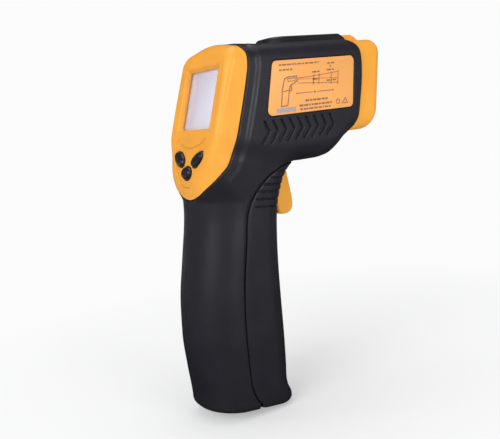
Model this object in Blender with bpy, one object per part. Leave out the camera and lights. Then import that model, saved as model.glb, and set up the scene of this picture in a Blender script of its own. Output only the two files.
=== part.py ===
"""Pistol-shaped infrared thermometer, as separate pieces.

The barrel points along +X, the grip hangs down along -Z and +Y is the gun's left.
Lengths below are in millimetres, in a drafting frame whose zero is the centre of the
grip's foot. Every mesh is written in metres, with its zero moved to ORIGIN.
"""

import math

import bmesh
import bpy
from mathutils import Vector

MM = 0.001
ORIGIN = Vector((28.785, 0.0, -2.121))  # bottom centre of the whole object's box

# Driving dimensions.
WALL = 2.2  # thickness of every moulded wall
GAP = 0.3  # clearance between neighbouring pieces
HEAD_HALF = 20.3  # half the width of the barrel
HEAD_TOP = 144.5
RIDGE_TOP = 146.8
RIDGE_HALF = 8.0
HEAD_FLOOR = 97.0  # underside of the barrel, in front of the trigger
MID_HEIGHT = 125.3  # height at which the barrel's stations are measured
REAR_SLOPE = 0.323  # lean of the display face
FRONT_SLOPE = 0.158  # lean of the nose
GRIP_LEAN = math.radians(7.0)
GRIP_HALF = 17.0
LENS_HEIGHT = 122.0
LASER_HEIGHT = 136.6
PIVOT = (28.0, 100.6)  # trigger pin
TRIGGER_HALF = 5.2
HINGE = (3.2, 2.4)  # battery door hinge, along and above the foot
KNUCKLE = 2.4  # radius of the door's hinge knuckle
BATTERY = (26.5, 17.5, 46.4)  # width, depth and height of a 9 V block
BATTERY_REAR = -9.6
BATTERY_FOOT = 12.0
SHIELD_TIP = 86.5  # lowest point of the rear bezel
DISPLAY_MID = 0.5
DISPLAY_OPENING = (24.2, 23.5)
UPPER_KEY = (4.8, 2.7)  # half length and half width of the two upper keys
LOWER_KEY = (4.05, 2.8)
BUTTON_LEAN = math.radians(64.0)
FLANGE = 0.5  # how far a key's flange stands out behind the bezel
BUTTONS = {
    "left": (7.4, -23.4, -BUTTON_LEAN, UPPER_KEY),
    "right": (-7.4, -23.4, BUTTON_LEAN, UPPER_KEY),
    "lower": (0.0, -28.8, math.pi / 2, LOWER_KEY),
}
BOARD_SCREWS = {
    "upper_left": (12.0, 17.0),
    "upper_right": (-12.0, 17.0),
    "lower_left": (12.8, -16.6),
    "lower_right": (-12.8, -16.6),
}

# The display face has its own frame: width, up along the face, depth into the body.
FACE_ZERO = Vector((-3.2, 0.0, MID_HEIGHT))
FACE_IN = Vector((0.952, 0.0, -0.307)).normalized()
FACE_UP = Vector((0.307, 0.0, 0.952)).normalized()


def face_point(width, up, depth):
    """A place measured from the middle of the display face."""
    return FACE_ZERO + FACE_UP * up + FACE_IN * depth + Vector((0, width, 0))


def grip_point(along, width, height):
    """A place measured in the leaning frame of the grip."""
    x = math.cos(GRIP_LEAN) * along + math.sin(GRIP_LEAN) * height
    z = math.cos(GRIP_LEAN) * height - math.sin(GRIP_LEAN) * along
    return Vector((x, width, z))


# The battery is level with the grip, so its frame is the grip's.
SHELL_SCREWS = {
    "1": Vector((24.0, 0, 138.4)),
    "2": Vector((44.0, 0, 102.8)),
    "3": grip_point(-15.5, 0, 67.0),
    "4": grip_point(-14.5, 0, 20.0),
}


# ---------------------------------------------------------------- tools


def clear_scene():
    for obj in list(bpy.data.objects):
        bpy.data.objects.remove(obj)


def material(name, colour, roughness, metallic=0.0):
    made = bpy.data.materials.get(name)
    if made:
        return made
    made = bpy.data.materials.new(name)
    made.use_nodes = True
    shader = made.node_tree.nodes["Principled BSDF"]
    shader.inputs["Base Color"].default_value = (*colour, 1.0)
    shader.inputs["Roughness"].default_value = roughness
    shader.inputs["Metallic"].default_value = metallic
    return made


YELLOW = ("yellow_plastic", (0.95, 0.42, 0.06), 0.4)
BLACK = ("black_plastic", (0.022, 0.021, 0.028), 0.5)
DARK = ("dark_plastic", (0.03, 0.03, 0.035), 0.45)
KEY = ("key_plastic", (0.02, 0.02, 0.025), 0.25)
CLEAR = ("clear_plastic", (0.75, 0.75, 0.82), 0.1)
BOARD = ("board_laminate", (0.03, 0.22, 0.09), 0.45)
STEEL = ("steel", (0.6, 0.6, 0.62), 0.3, 1.0)
BRASS = ("brass", (0.75, 0.55, 0.25), 0.3, 1.0)
PAPER = ("label_film", (0.95, 0.55, 0.18), 0.35)
WHITE = ("white_plastic", (0.8, 0.8, 0.78), 0.5)
RED = ("red_insulation", (0.6, 0.03, 0.02), 0.45)
SLEEVE = ("black_insulation", (0.02, 0.02, 0.02), 0.45)
LENS = ("lens_film", (0.7, 0.72, 0.7), 0.35)
CELL = ("battery_jacket", (0.05, 0.12, 0.25), 0.35)


def mesh_object(name, points, faces, look=DARK):
    """An object from points in millimetres, with its faces turned outwards."""
    mesh = bpy.data.meshes.new(name)
    mesh.from_pydata([(Vector(p) - ORIGIN) * MM for p in points], [], faces)
    work = bmesh.new()
    work.from_mesh(mesh)
    bmesh.ops.recalc_face_normals(work, faces=work.faces)
    if work.calc_volume(signed=True) < 0:
        bmesh.ops.reverse_faces(work, faces=work.faces)
    work.to_mesh(mesh)
    work.free()
    obj = bpy.data.objects.new(name, mesh)
    bpy.context.scene.collection.objects.link(obj)
    mesh.materials.append(material(*look))
    return obj


def loft(name, rings, look=DARK):
    """A closed skin through rings that have the same number of points."""
    count = len(rings[0])
    points = [p for ring in rings for p in ring]
    faces = [list(range(count))]
    for k in range(len(rings) - 1):
        for i in range(count):
            j = (i + 1) % count
            low, high = k * count, (k + 1) * count
            faces.append([low + i, low + j, high + j, high + i])
    faces.append([(len(rings) - 1) * count + i for i in range(count)])
    return mesh_object(name, points, faces, look)


def bar(name, outline, low, high, look=DARK):
    """An outline of (x, z) points, run along the width from low to high."""
    return loft(name, [[Vector((x, y, z)) for x, z in outline] for y in (low, high)], look)


def plain_point(x, y, z):
    return Vector((x, y, z))


def block(name, corner, opposite, look=DARK, place=plain_point):
    """A box between two corners; place turns three numbers into a point."""
    (a, b, c), (d, e, f) = corner, opposite
    rings = []
    for last in (c, f):
        rings.append([place(x, y, last) for x, y in ((a, b), (d, b), (d, e), (a, e))])
    return loft(name, rings, look)


def turned(name, centre, axis, profile, look=DARK, sides=24):
    """A round body from (radius, distance along axis) pairs; radius 0 closes an end.

    A profile that keeps away from the axis is closed on itself, as a ring.
    """
    axis = Vector(axis).normalized()
    across = axis.orthogonal().normalized()
    other = axis.cross(across)
    solid = profile[0][0] == 0
    rows = profile[1:-1] if solid else profile
    points = []
    for radius, along in rows:
        for i in range(sides):
            turn = 2 * math.pi * i / sides
            arm = across * math.cos(turn) + other * math.sin(turn)
            points.append(Vector(centre) + axis * along + arm * radius)
    pairs = list(zip(range(len(rows)), range(1, len(rows))))
    if not solid:
        pairs.append((len(rows) - 1, 0))
    faces = []
    for low, high in pairs:
        for i in range(sides):
            j = (i + 1) % sides
            faces.append([low * sides + i, low * sides + j, high * sides + j, high * sides + i])
    if solid:
        faces.append(list(range(sides)))
        faces.append([(len(rows) - 1) * sides + i for i in range(sides)])
    obj = mesh_object(name, points, faces, look)
    obj.data.shade_smooth()
    obj.data.set_sharp_from_angle(angle=math.radians(40))
    return obj


def rod(name, start, end, radius, look=DARK, sides=16):
    """A plain round bar between two points."""
    start, end = Vector(start), Vector(end)
    length = (end - start).length
    profile = [(0, 0), (radius, 0), (radius, length), (0, length)]
    return turned(name, start, end - start, profile, look, sides)


def boolean(obj, other, operation):
    """Cuts, joins or keeps the common part, and then drops the other object."""
    step = obj.modifiers.new(operation, "BOOLEAN")
    step.operation = operation
    step.solver = "EXACT"
    step.object = other
    bpy.context.view_layer.update()
    graph = bpy.context.evaluated_depsgraph_get()
    result = bpy.data.meshes.new_from_object(obj.evaluated_get(graph))
    obj.modifiers.remove(step)
    obj.data = result
    result.name = obj.name
    while len(result.materials) > 1:
        result.materials.pop(index=len(result.materials) - 1)
    bpy.data.objects.remove(other)
    return obj


def cut(obj, *others):
    for other in others:
        boolean(obj, other, "DIFFERENCE")
    return obj


def join(obj, *others):
    for other in others:
        boolean(obj, other, "UNION")
    return obj


def common(obj, other):
    return boolean(obj, other, "INTERSECT")


def copy_of(obj, name, look=None):
    made = obj.copy()
    made.data = obj.data.copy()
    made.name = name
    bpy.context.scene.collection.objects.link(made)
    if look:
        made.data.materials.clear()
        made.data.materials.append(material(*look))
    return made


def smooth_path(knots, steps):
    """Points of a curve that passes through the knots."""
    knots = [Vector(k) for k in knots]
    ends = [knots[0] * 2 - knots[1]] + knots + [knots[-1] * 2 - knots[-2]]
    path = []
    for a, b, c, d in zip(ends, ends[1:], ends[2:], ends[3:]):
        for i in range(steps):
            t = i / steps
            path.append(
                0.5 * (2 * b + (c - a) * t + (2 * a - 5 * b + 4 * c - d) * t * t
                       + (3 * b - a - 3 * c + d) * t ** 3)
            )
    return path + [knots[-1]]


def wire(name, path, radius, look, sides=8):
    """A round wire along a path, its section carried along without twisting."""
    rings = []
    across = (path[1] - path[0]).orthogonal().normalized()
    for i, place in enumerate(path):
        along = (path[min(i + 1, len(path) - 1)] - path[max(i - 1, 0)]).normalized()
        across = (across - along * across.dot(along)).normalized()
        other = along.cross(across)
        rings.append([
            place + (across * math.cos(t) + other * math.sin(t)) * radius
            for t in (2 * math.pi * k / sides for k in range(sides))
        ])
    obj = loft(name, rings, look)
    obj.data.shade_smooth()
    return obj


def offset_line(line, distance):
    """The open line moved sideways; a positive distance goes to its right."""
    moved = []
    for i, (x, z) in enumerate(line):
        before = line[max(i - 1, 0)]
        after = line[min(i + 1, len(line) - 1)]
        along = Vector((after[0] - before[0], after[1] - before[1])).normalized()
        moved.append((x + along.y * distance, z - along.x * distance))
    return moved


# ---------------------------------------------------------------- outer form


def rounded_section(low, high, half, low_radius, high_radius, steps=4):
    """(height, width) points of a section with rounded corners, going once round."""
    section = []
    corners = (
        (high, 1, high_radius, 0), (low, 1, low_radius, 1),
        (low, -1, low_radius, 2), (high, -1, high_radius, 3),
    )
    for level, side, radius, quarter in corners:
        inwards = -1 if level == high else 1
        for i in range(steps + 1):
            turn = math.pi / 2 * (quarter + i / steps)
            across = side * (half - radius) + radius * math.sin(turn)
            section.append((level + inwards * radius + radius * math.cos(turn), across))
    return section


def head_slope(station):
    """Lean of a barrel section; it falls evenly from the display to the nose."""
    return REAR_SLOPE + (FRONT_SLOPE - REAR_SLOPE) * (station + 2.0) / 77.7


def head_ring(station, low, high, half, low_radius, high_radius):
    ring = []
    for height, width in rounded_section(low, high, half, low_radius, high_radius):
        x = station + (height - MID_HEIGHT) * head_slope(station)
        ring.append(Vector((x, width, height)))
    return ring


def grip_ring(height, rear, front, half, rear_radius, front_radius):
    section = rounded_section(rear, front, half, rear_radius, front_radius)
    return [grip_point(along, width, height) for along, width in section]


# Barrel sections: station, floor, top, half width, floor radius, top radius.
HEAD_SECTIONS = (
    (-3.2, 105.0, 140.8, 16.6, 8.0, 5.5),
    (-2.2, 104.5, 142.7, 18.4, 8.0, 6.0),
    (-0.6, 104.0, 143.7, 19.2, 8.0, 6.5),
    (3.4, 103.5, 144.0, 19.4, 8.0, 6.5),
    (9.0, 102.5, 144.1, 19.7, 8.0, 6.5),
    (15.0, 101.0, 144.3, HEAD_HALF, 8.0, 6.5),
    (33.0, HEAD_FLOOR, HEAD_TOP, HEAD_HALF, 8.0, 7.0),
    (48.0, HEAD_FLOOR, HEAD_TOP, HEAD_HALF, 8.0, 7.0),
    (54.0, 98.8, HEAD_TOP, HEAD_HALF, 8.0, 7.0),
    (60.0, 104.0, HEAD_TOP, HEAD_HALF, 8.0, 7.0),
    (64.0, 105.4, HEAD_TOP, HEAD_HALF, 8.0, 7.0),
    (76.0, 105.3, HEAD_TOP, HEAD_HALF, 8.0, 7.0),
)

# Grip sections: height, rear, front, half width, rear radius, front radius.
GRIP_SECTIONS = (
    (0.0, -16.2, 17.4, 13.6, 12.5, 6.0),
    (1.1, -18.6, 18.6, 15.4, 14.5, 7.5),
    (3.4, -19.7, 19.1, 16.3, 15.5, 8.5),
    (8.0, -20.4, 16.8, 16.6, 16.0, 8.5),
    (17.0, -22.2, 16.0, 16.8, 16.4, 8.5),
    (30.0, -24.3, 14.9, 17.0, 16.6, 8.5),
    (45.0, -24.9, 13.4, GRIP_HALF, 16.6, 8.5),
    (60.0, -23.9, 12.1, GRIP_HALF, 16.6, 8.5),
    (76.0, -22.8, 11.6, GRIP_HALF, 16.4, 8.5),
    (84.0, -22.7, 11.9, 17.2, 15.5, 8.5),
    (89.0, -24.0, 12.8, 17.5, 13.0, 8.5),
    (94.0, -24.0, 14.6, 18.2, 10.5, 8.5),
    (98.5, -23.3, 17.0, 18.8, 8.5, 8.5),
    (103.0, -22.3, 18.4, 19.0, 7.5, 8.5),
    (111.0, -20.5, 17.0, 19.0, 7.0, 8.5),
)

# Nose sections, as for the barrel.
NOSE_SECTIONS = (
    (57.0, 106.3, 143.3, 19.2, 7.5, 6.0),
    (71.5, 106.3, 143.3, 19.2, 7.5, 6.0),
    (73.6, 107.4, 142.4, 18.7, 8.0, 6.0),
    (75.4, 110.0, 140.4, 17.2, 7.5, 6.0),
    (76.1, 113.2, 137.6, 15.2, 7.0, 6.0),
)


def inset_sections(sections, wall, first, last):
    """The sections pulled in by a wall, and by first and last at the two ends."""
    inside = []
    for i, (place, low, high, half, low_radius, high_radius) in enumerate(sections):
        shift = 0.0
        if i == 0:
            shift = first
        if i == len(sections) - 1:
            shift = last
        inside.append((
            place + shift, low + wall, high - wall, half - wall,
            max(low_radius - wall, 2.0), max(high_radius - wall, 2.0),
        ))
    return inside


def head_form(name, wall=0.0):
    sections = HEAD_SECTIONS
    if wall:
        kept = [s for s in HEAD_SECTIONS if s[0] > 3.0]
        start = (HEAD_SECTIONS[0][0], 104.5, 143.0, 18.4, 8.0, 8.0)
        sections = inset_sections([start, *kept], wall, wall / FACE_IN.x, 4.0)
    return loft(name, [head_ring(*s) for s in sections], BLACK)


def grip_form(name, wall=0.0):
    sections = GRIP_SECTIONS
    if wall:
        kept = [s for s in GRIP_SECTIONS if s[0] > 3.0]
        start = (wall, *GRIP_SECTIONS[1][1:])
        sections = inset_sections([start, *kept], wall, 0.0, 0.0)
    return loft(name, [grip_ring(*s) for s in sections], BLACK)


def ridge_form(name, start, end, top):
    """The raised spine along the top of the barrel."""
    outline = [(start - 1.5, HEAD_TOP - 1.0), (start, top), (end, top), (end + 1.0, HEAD_TOP - 1.0)]
    return bar(name, outline, -RIDGE_HALF, RIDGE_HALF, BLACK)


def full_skin():
    """The moulded wall of the whole black body, before it is parted."""
    skin = head_form("skin")
    join(skin, grip_form("grip_form"), ridge_form("ridge", 28.6, 80.0, RIDGE_TOP))
    inside = head_form("inside", WALL)
    join(inside, grip_form("grip_inside", WALL))
    return cut(skin, inside)


# ---------------------------------------------------------------- parting lines

# Side view of the bezel's edge, from the top of the barrel down to the tip.
BEZEL_EDGE = (
    (7.0, 150.0), (7.8, 143.0), (9.6, 140.0), (9.4, 136.0), (6.4, 125.3), (3.6, 117.0),
    (1.1, 109.5), (-0.8, 104.7), (-3.0, 100.1), (-6.0, 96.7), (-8.7, 93.5), (-10.4, 90.7),
    (-11.2, 86.0),
)

# Rear view of the bezel's edge: half width against height.
SHIELD_EDGE = (
    (27.0, 110.0), (23.0, 105.5), (20.5, 100.5), (18.3, 96.5), (15.6, 93.5), (11.7, 90.7),
    (7.1, 88.3), (2.8, 86.9), (0.0, SHIELD_TIP),
)

# Side view of the nose's rear edge, from the top down.
NOSE_EDGE = (
    (64.8, 150.0), (62.8, 142.4), (64.7, 139.4), (65.2, 134.9), (63.9, 123.9), (62.5, 117.7),
    (61.1, 112.6), (59.0, 108.6), (57.4, 106.8), (56.4, 100.0),
)

# Side view of the battery door's edge, from the trigger down to the foot.
DOOR_EDGE = (
    (36.0, 96.2), (30.0, 97.3), (24.0, 97.1), (19.1, 95.6), (14.2, 93.2), (9.3, 89.3),
    (5.7, 85.2), (3.2, 80.7), (2.1, 76.0), (1.2, 69.0), (-0.7, 57.0), (-1.9, 47.0), (-2.8, 36.0),
    (-3.1, 22.0), (-2.7, 11.0), (-0.6, 4.6),
)


def bezel_region(name, distance):
    """What lies behind the bezel's edge; a positive distance makes it larger."""
    side = offset_line(BEZEL_EDGE, -distance)
    region = bar(name, side + [(-45.0, 86.0 - distance), (-45.0, 150.0)], -30, 30)
    right = [(-half, height) for half, height in reversed(SHIELD_EDGE[:-1])]
    edge = offset_line(list(SHIELD_EDGE) + right, -distance)
    edge += [(-30.0, 110.0), (-30.0, 160.0), (30.0, 160.0), (30.0, 110.0)]
    rings = [[Vector((x, y, z)) for y, z in edge] for x in (-40.0, 25.0)]
    return common(region, loft("shield", rings))


def nose_region(name, distance):
    """What lies ahead of the nose's rear edge."""
    return bar(name, offset_line(NOSE_EDGE, distance) + [(90.0, 100.0), (90.0, 150.0)], -30, 30)


def door_region(name, distance):
    """What lies ahead of the door's edge, rounded about the hinge at the foot."""
    edge = offset_line(DOOR_EDGE, distance)
    hinge = grip_point(HINGE[0], 0, HINGE[1])
    radius = KNUCKLE + (0.6 if distance >= 0 else 0.0)
    for degrees in (180, 205, 230, 255, 270):
        turn = math.radians(degrees) - GRIP_LEAN
        edge.append((hinge.x + radius * math.cos(turn), hinge.z + radius * math.sin(turn)))
    below = grip_point(HINGE[0], 0, -4.0)
    edge += [(below.x, below.z), (45.0, -8.0), (45.0, 90.0)]
    return bar(name, edge, -30, 30)


def half_space(name, side):
    """Everything on one side of the seam between the shells."""
    near = side * GAP / 2
    return block(name, (-60, near, -20), (110, side * 40, 170))


# ---------------------------------------------------------------- shells


def label_outline(grow):
    """Side view of the label, with its corners cut."""
    low, high = 116.1 - grow, 136.7 + grow
    rear_low, rear_high = 15.5 - grow, 20.3 - grow
    front_low, front_high = 58.2 + grow, 61.0 + grow
    return [
        (rear_low + 1.5, low), (front_low - 1.5, low), (front_low + 0.2, low + 1.5),
        (front_high - 0.2, high - 1.5), (front_high - 1.5, high), (rear_high + 1.5, high),
        (rear_high - 0.3, high - 1.5), (rear_low + 0.3, low + 1.5),
    ]


def screw_boss(name, place, side):
    """The post that a case screw passes through or bites into."""
    radius = 4.0 if side > 0 else 3.0
    reach = 16.4 if place.z > 95.0 else 11.8
    near = Vector((place.x, side * GAP / 2, place.z))
    return rod(name, near, (place.x, side * reach, place.z), radius, BLACK, 16)


def screw_hole(place, side):
    if side < 0:
        return rod("hole", (place.x, 1, place.z), (place.x, -10, place.z), 1.4, sides=12)
    centre = Vector((place.x, -1, place.z))
    profile = [(0, 0), (1.5, 0), (1.5, 9.2), (2.9, 9.2), (2.9, 40), (0, 40)]
    return turned("hole", centre, (0, 1, 0), profile, sides=16)


def hinge_ear(side):
    """The tongue that reaches out of the shell's foot and carries the door's pin."""
    outline = []
    for degrees in (-90, -45, 0, 45, 90):
        turn = math.radians(degrees)
        outline.append((HINGE[0] + 2.2 * math.cos(turn), HINGE[1] + 2.2 * math.sin(turn)))
    outline += [(-6.0, HINGE[1] + 2.2), (-6.0, HINGE[1] - 0.4), (-1.5, HINGE[1] - 2.2)]
    rings = []
    for width in (7.2, 9.8):
        rings.append([grip_point(a, side * width, h) for a, h in outline])
    ear = loft("ear", rings, BLACK)
    start = grip_point(HINGE[0], side * 6.0, HINGE[1])
    end = grip_point(HINGE[0], side * 11.0, HINGE[1])
    return cut(ear, rod("ear_hole", start, end, 1.35, sides=12))


def battery_bay_wall(side):
    """The wall behind the battery; it follows the inside of the grip."""
    outline = [(GAP / 2, 5.0), (13.4, 5.0), (14.6, 20.0), (15.6, 38.0), (15.6, 59.0), (GAP / 2, 59.0)]
    rings = []
    for along in (-11.8, -10.4):
        rings.append([grip_point(along, side * width, height) for width, height in outline])
    return loft("bay_wall", rings, BLACK)


def shell_half(name, skin, side):
    """One of the two mirrored body shells, with the posts and walls inside it."""
    shell = common(copy_of(skin, name, BLACK), half_space("half", side))
    bay_wall = battery_bay_wall(side)
    inner, outer = sorted((side * GAP / 2, side * (HEAD_HALF - 1.5)))
    shelf = block("shelf", (14.0, inner, 110.4), (26.0, outer, 111.9), BLACK)
    join(shell, bay_wall, shelf, hinge_ear(side))
    boss_end = (PIVOT[0], side * 15.2, PIVOT[1])
    join(shell, rod("pin_boss", (PIVOT[0], side * 6.0, PIVOT[1]), boss_end, 2.8, BLACK, 16))
    pin_far = (PIVOT[0], side * 9.3, PIVOT[1])
    cut(shell, rod("pin_hole", (PIVOT[0], side * 5.0, PIVOT[1]), pin_far, 1.3, sides=12))
    for key, place in SHELL_SCREWS.items():
        join(shell, screw_boss("boss_" + key, place, side))
        cut(shell, screw_hole(place, side))
    near, far = sorted((side * (HEAD_HALF - 0.6), side * 30.0))
    cut(shell, bar("label_recess", label_outline(GAP), near, far))
    slot_near, slot_far = sorted((side * -1.0, side * 5.8))
    cut(shell, block("trigger_slot", (22.0, slot_near, 90.0), (36.4, slot_far, 100.0)))
    near, far = sorted((side * 12.0, side * (HEAD_HALF - 1.5)))
    for start in (28.2, 31.9):
        join(shell, block("rib", (start, near, 114.0), (start + 1.5, far, 131.0), BLACK))
    return shell


# ---------------------------------------------------------------- covers


def oval_ring(width, up, depth, axes, lean, sides=16):
    """An ellipse on the display face; its long axis leans from straight up."""
    ring = []
    for i in range(sides):
        turn = 2 * math.pi * i / sides
        long_way, short_way = axes[0] * math.cos(turn), axes[1] * math.sin(turn)
        across = short_way * math.cos(lean) - long_way * math.sin(lean)
        along = long_way * math.cos(lean) + short_way * math.sin(lean)
        ring.append(face_point(width + across, up + along, depth))
    return ring


def rear_bezel(skin):
    """The yellow frame round the display and the keys."""
    bezel = common(copy_of(skin, "rear_bezel", YELLOW), bezel_region("region", 0.0))
    half, tall = DISPLAY_OPENING[0] / 2, DISPLAY_OPENING[1] / 2
    opening = block("opening", (-half, DISPLAY_MID - tall, -3.0), (half, DISPLAY_MID + tall, 6.0),
                    place=face_point)
    cut(bezel, opening)
    for width, up in BOARD_SCREWS.values():
        rod_start, rod_end = face_point(width, up, 1.2), face_point(width, up, 8.2)
        join(bezel, rod("post", rod_start, rod_end, 1.9, YELLOW, 12))
        cut(bezel, rod("post_hole", face_point(width, up, 3.6), face_point(width, up, 9.0), 1.3,
                       sides=10))
    for width, up, lean, axes in BUTTONS.values():
        wide = (axes[0] + GAP, axes[1] + GAP)
        rings = [oval_ring(width, up, depth, wide, lean) for depth in (-4.0, 4.6)]
        cut(bezel, loft("key_hole", rings))
        wide = (wide[0] + FLANGE, wide[1] + FLANGE)
        rings = [oval_ring(width, up, depth, wide, lean) for depth in (2.3, 7.0)]
        cut(bezel, loft("flange_room", rings))
    return bezel


def nose_cover():
    """The yellow front cap, with the openings for the lens and the laser."""
    nose = loft("nose_cover", [head_ring(*s) for s in NOSE_SECTIONS], YELLOW)
    spine = [(66.0, 142.0), (66.0, 145.0), (66.7, 146.3), (71.0, 146.3), (73.4, 144.8), (74.3, 142.0)]
    join(nose, bar("spine", spine, -RIDGE_HALF, RIDGE_HALF, YELLOW))
    inside = inset_sections(NOSE_SECTIONS, WALL, -2.0, -WALL)
    hollow = loft("hollow", [head_ring(*s) for s in (inside[0], inside[1], inside[3], inside[4])])
    cut(nose, hollow)
    common(nose, nose_region("ahead", -GAP))
    lens_axis = (60.0, 0, LENS_HEIGHT)
    cut(nose, rod("lens_opening", lens_axis, (85.0, 0, LENS_HEIGHT), 9.0, sides=32))
    return cut(nose, rod("laser_opening", (60.0, 0, LASER_HEIGHT), (85, 0, LASER_HEIGHT), 2.9))


def battery_door(skin):
    """The front half of the grip, which swings open about its foot."""
    door = common(copy_of(skin, "battery_door", BLACK), door_region("region", -GAP))
    start, end = grip_point(HINGE[0], -13.0, HINGE[1]), grip_point(HINGE[0], 13.0, HINGE[1])
    join(door, rod("knuckle", start, end, KNUCKLE, BLACK, 16))
    for side in (-1, 1):
        near, far = sorted((side * 6.8, side * 10.2))
        notch = block("notch", (-2.0, near, -3.0), (6.6, far, 6.5), place=grip_point)
        cut(door, notch)
        pin_start = grip_point(HINGE[0], side * 6.0, HINGE[1])
        pin_end = grip_point(HINGE[0], side * 11.0, HINGE[1])
        join(door, rod("pin", pin_start, pin_end, 1.0, BLACK, 12))
    cut(door, block("trigger_slot", (12.0, -6.0, 74.0), (45.0, 6.0, 100.0)))
    return door


def display_window():
    half, tall = DISPLAY_OPENING[0] / 2 - 0.4, DISPLAY_OPENING[1] / 2 - 0.4
    low = (-half, DISPLAY_MID - tall, 1.2)
    return block("display_window", low, (half, DISPLAY_MID + tall, 2.2), CLEAR, face_point)


def labels():
    for name, side in (("right_label", -1), ("left_label", 1)):
        near, far = sorted((side * (HEAD_HALF - 0.3), side * (HEAD_HALF - 0.02)))
        bar(name, label_outline(0.0), near, far, PAPER)


# ---------------------------------------------------------------- trigger


def trigger():
    """The yellow lever: a curved blade, a hub on the pin and an arm to the switch."""
    outline = [
        (31.4, 101.6), (32.2, 97.0), (32.2, 91.8), (32.7, 87.3), (33.5, 81.1), (33.6, 78.2),
        (32.6, 76.4), (30.4, 75.4), (27.6, 75.4), (26.2, 76.6), (25.4, 80.0), (24.9, 86.0),
        (24.6, 92.0), (24.4, 98.6), (15.0, 99.6), (15.0, 101.6), (25.0, 102.4),
        (26.5, 103.4), (29.5, 103.6),
    ]
    lever = bar("trigger", outline, -TRIGGER_HALF, TRIGGER_HALF, YELLOW)
    start, end = (PIVOT[0], -8, PIVOT[1]), (PIVOT[0], 8, PIVOT[1])
    return cut(lever, rod("bore", start, end, 1.3, sides=16))


def trigger_pin():
    start, end = (PIVOT[0], -8.8, PIVOT[1]), (PIVOT[0], 8.8, PIVOT[1])
    return rod("trigger_pin", start, end, 1.0, STEEL)


def trigger_spring():
    """A small coil spring, on the trigger's arm below its shelf."""
    turns, steps, low, high = 5, 10, 102.4, 109.7
    path = []
    for i in range(turns * steps + 1):
        turn = 2 * math.pi * i / steps
        height = low + (high - low) * i / (turns * steps)
        path.append(Vector((17.4 + 1.9 * math.cos(turn), 1.9 * math.sin(turn), height)))
    return wire("trigger_spring", path, 0.28, STEEL, 6)


def trigger_switch():
    body = block("trigger_switch", (20.0, -3.1, 104.6), (26.2, 3.1, 110.1), DARK)
    return cut(body, rod("well", (22.0, 0, 100), (22.0, 0, 107.6), 1.4, sides=12))


def switch_plunger():
    return rod("switch_plunger", (22.0, 0, 102.6), (22.0, 0, 106.0), 1.1, WHITE, 12)


# ---------------------------------------------------------------- keys and display


def keys():
    for side, (width, up, lean, (long_axis, short_axis)) in BUTTONS.items():
        rows = (
            (-0.95, 0.45), (-0.75, 0.75), (-0.2, 1.0), (2.7, 1.0),
        )
        rings = [
            oval_ring(width, up, depth, (long_axis * share, short_axis * share), lean)
            for depth, share in rows
        ]
        flange = (long_axis + FLANGE, short_axis + FLANGE)
        rings += [oval_ring(width, up, depth, flange, lean) for depth in (2.7, 3.4)]
        rings += [oval_ring(width, up, depth, (1.4, 1.4), lean) for depth in (3.4, 4.2)]
        cap = loft("button_" + side, rings, KEY)
        cap.data.shade_smooth()
        cap.data.set_sharp_from_angle(angle=math.radians(35))
        rod("key_stem_" + side, face_point(width, up, 4.5), face_point(width, up, 6.6), 1.5,
            WHITE, 12)
        switch = block("key_switch_" + side, (width - 3, up - 3, 5.0), (width + 3, up + 3, 8.2),
                       STEEL, face_point)
        cut(switch, rod("well", face_point(width, up, 4.0), face_point(width, up, 7.5), 1.8,
                        sides=12))


def face_outline(name, outline, near, far, look):
    """An outline of (width, up) points, run into the body from near to far."""
    return loft(name, [[face_point(w, u, d) for w, u in outline] for d in (near, far)], look)


def display_parts():
    holder = block("lcd_frame", (-15.3, -13.9, 2.8), (15.3, 14.5, 8.2), WHITE, face_point)
    cut(holder, block("frame_hole", (-13.6, -12.4, 0.0), (13.6, 13.6, 12.0), place=face_point))
    block("lcd_glass", (-13.2, -12.0, 3.0), (13.2, 13.2, 5.2), CLEAR, face_point)
    block("backlight", (-13.2, -12.0, 5.6), (13.2, 10.4, 7.8), WHITE, face_point)
    block("zebra_strip", (-13.0, 10.9, 5.5), (13.0, 13.0, 8.2), DARK, face_point)


def main_board():
    outline = [
        (-13.4, 19.1), (13.4, 19.1), (14.8, 17.1), (14.8, -19.5), (7.5, -33.5), (-7.5, -33.5),
        (-14.8, -19.5), (-14.8, 17.1),
    ]
    board = face_outline("main_board", outline, 8.5, 10.1, BOARD)
    for key, (width, up) in BOARD_SCREWS.items():
        cut(board, rod("hole", face_point(width, up, 7), face_point(width, up, 12), 1.3, sides=10))
        profile = [(0, 0), (1.0, 0), (1.0, 5.8), (1.9, 5.8), (1.9, 7.0), (1.2, 7.4), (0, 7.4)]
        turned("board_screw_" + key, face_point(width, up, 4.6), FACE_IN, profile, STEEL, 12)
    return board


def processor():
    block("processor", (-5, -6, 10.4), (5, 4, 11.9), DARK, face_point)


# ---------------------------------------------------------------- optics


def optics():
    axis, line = (1, 0, 0), Vector((0, 0, LENS_HEIGHT))
    block("sensor_board", (30.0, -15.2, 110.5), (31.6, 15.2, 132.5), BOARD)
    profile = [(0, 32.0), (4.6, 32.0), (4.6, 32.7), (4.1, 32.7), (4.1, 37.0), (0, 37.0)]
    turned("infrared_sensor", line, axis, profile, STEEL, 20)
    tube = [(6.0, 32.0), (6.0, 36.0), (10.6, 64.6), (9.4, 64.6), (5.0, 36.0), (5.0, 32.0)]
    turned("sensor_tube", line, axis, tube, DARK, 24)
    disc = [(0, 65.0), (9.9, 65.0), (9.9, 66.0), (0, 66.0)]
    turned("fresnel_lens", line, axis, disc, LENS, 24)
    ring = [(8.6, 66.4), (10.8, 66.4), (10.8, 68.2), (8.7, 68.2), (8.7, 73.8), (7.9, 73.8)]
    turned("lens_ring", line, axis, ring, DARK, 32)


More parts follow.
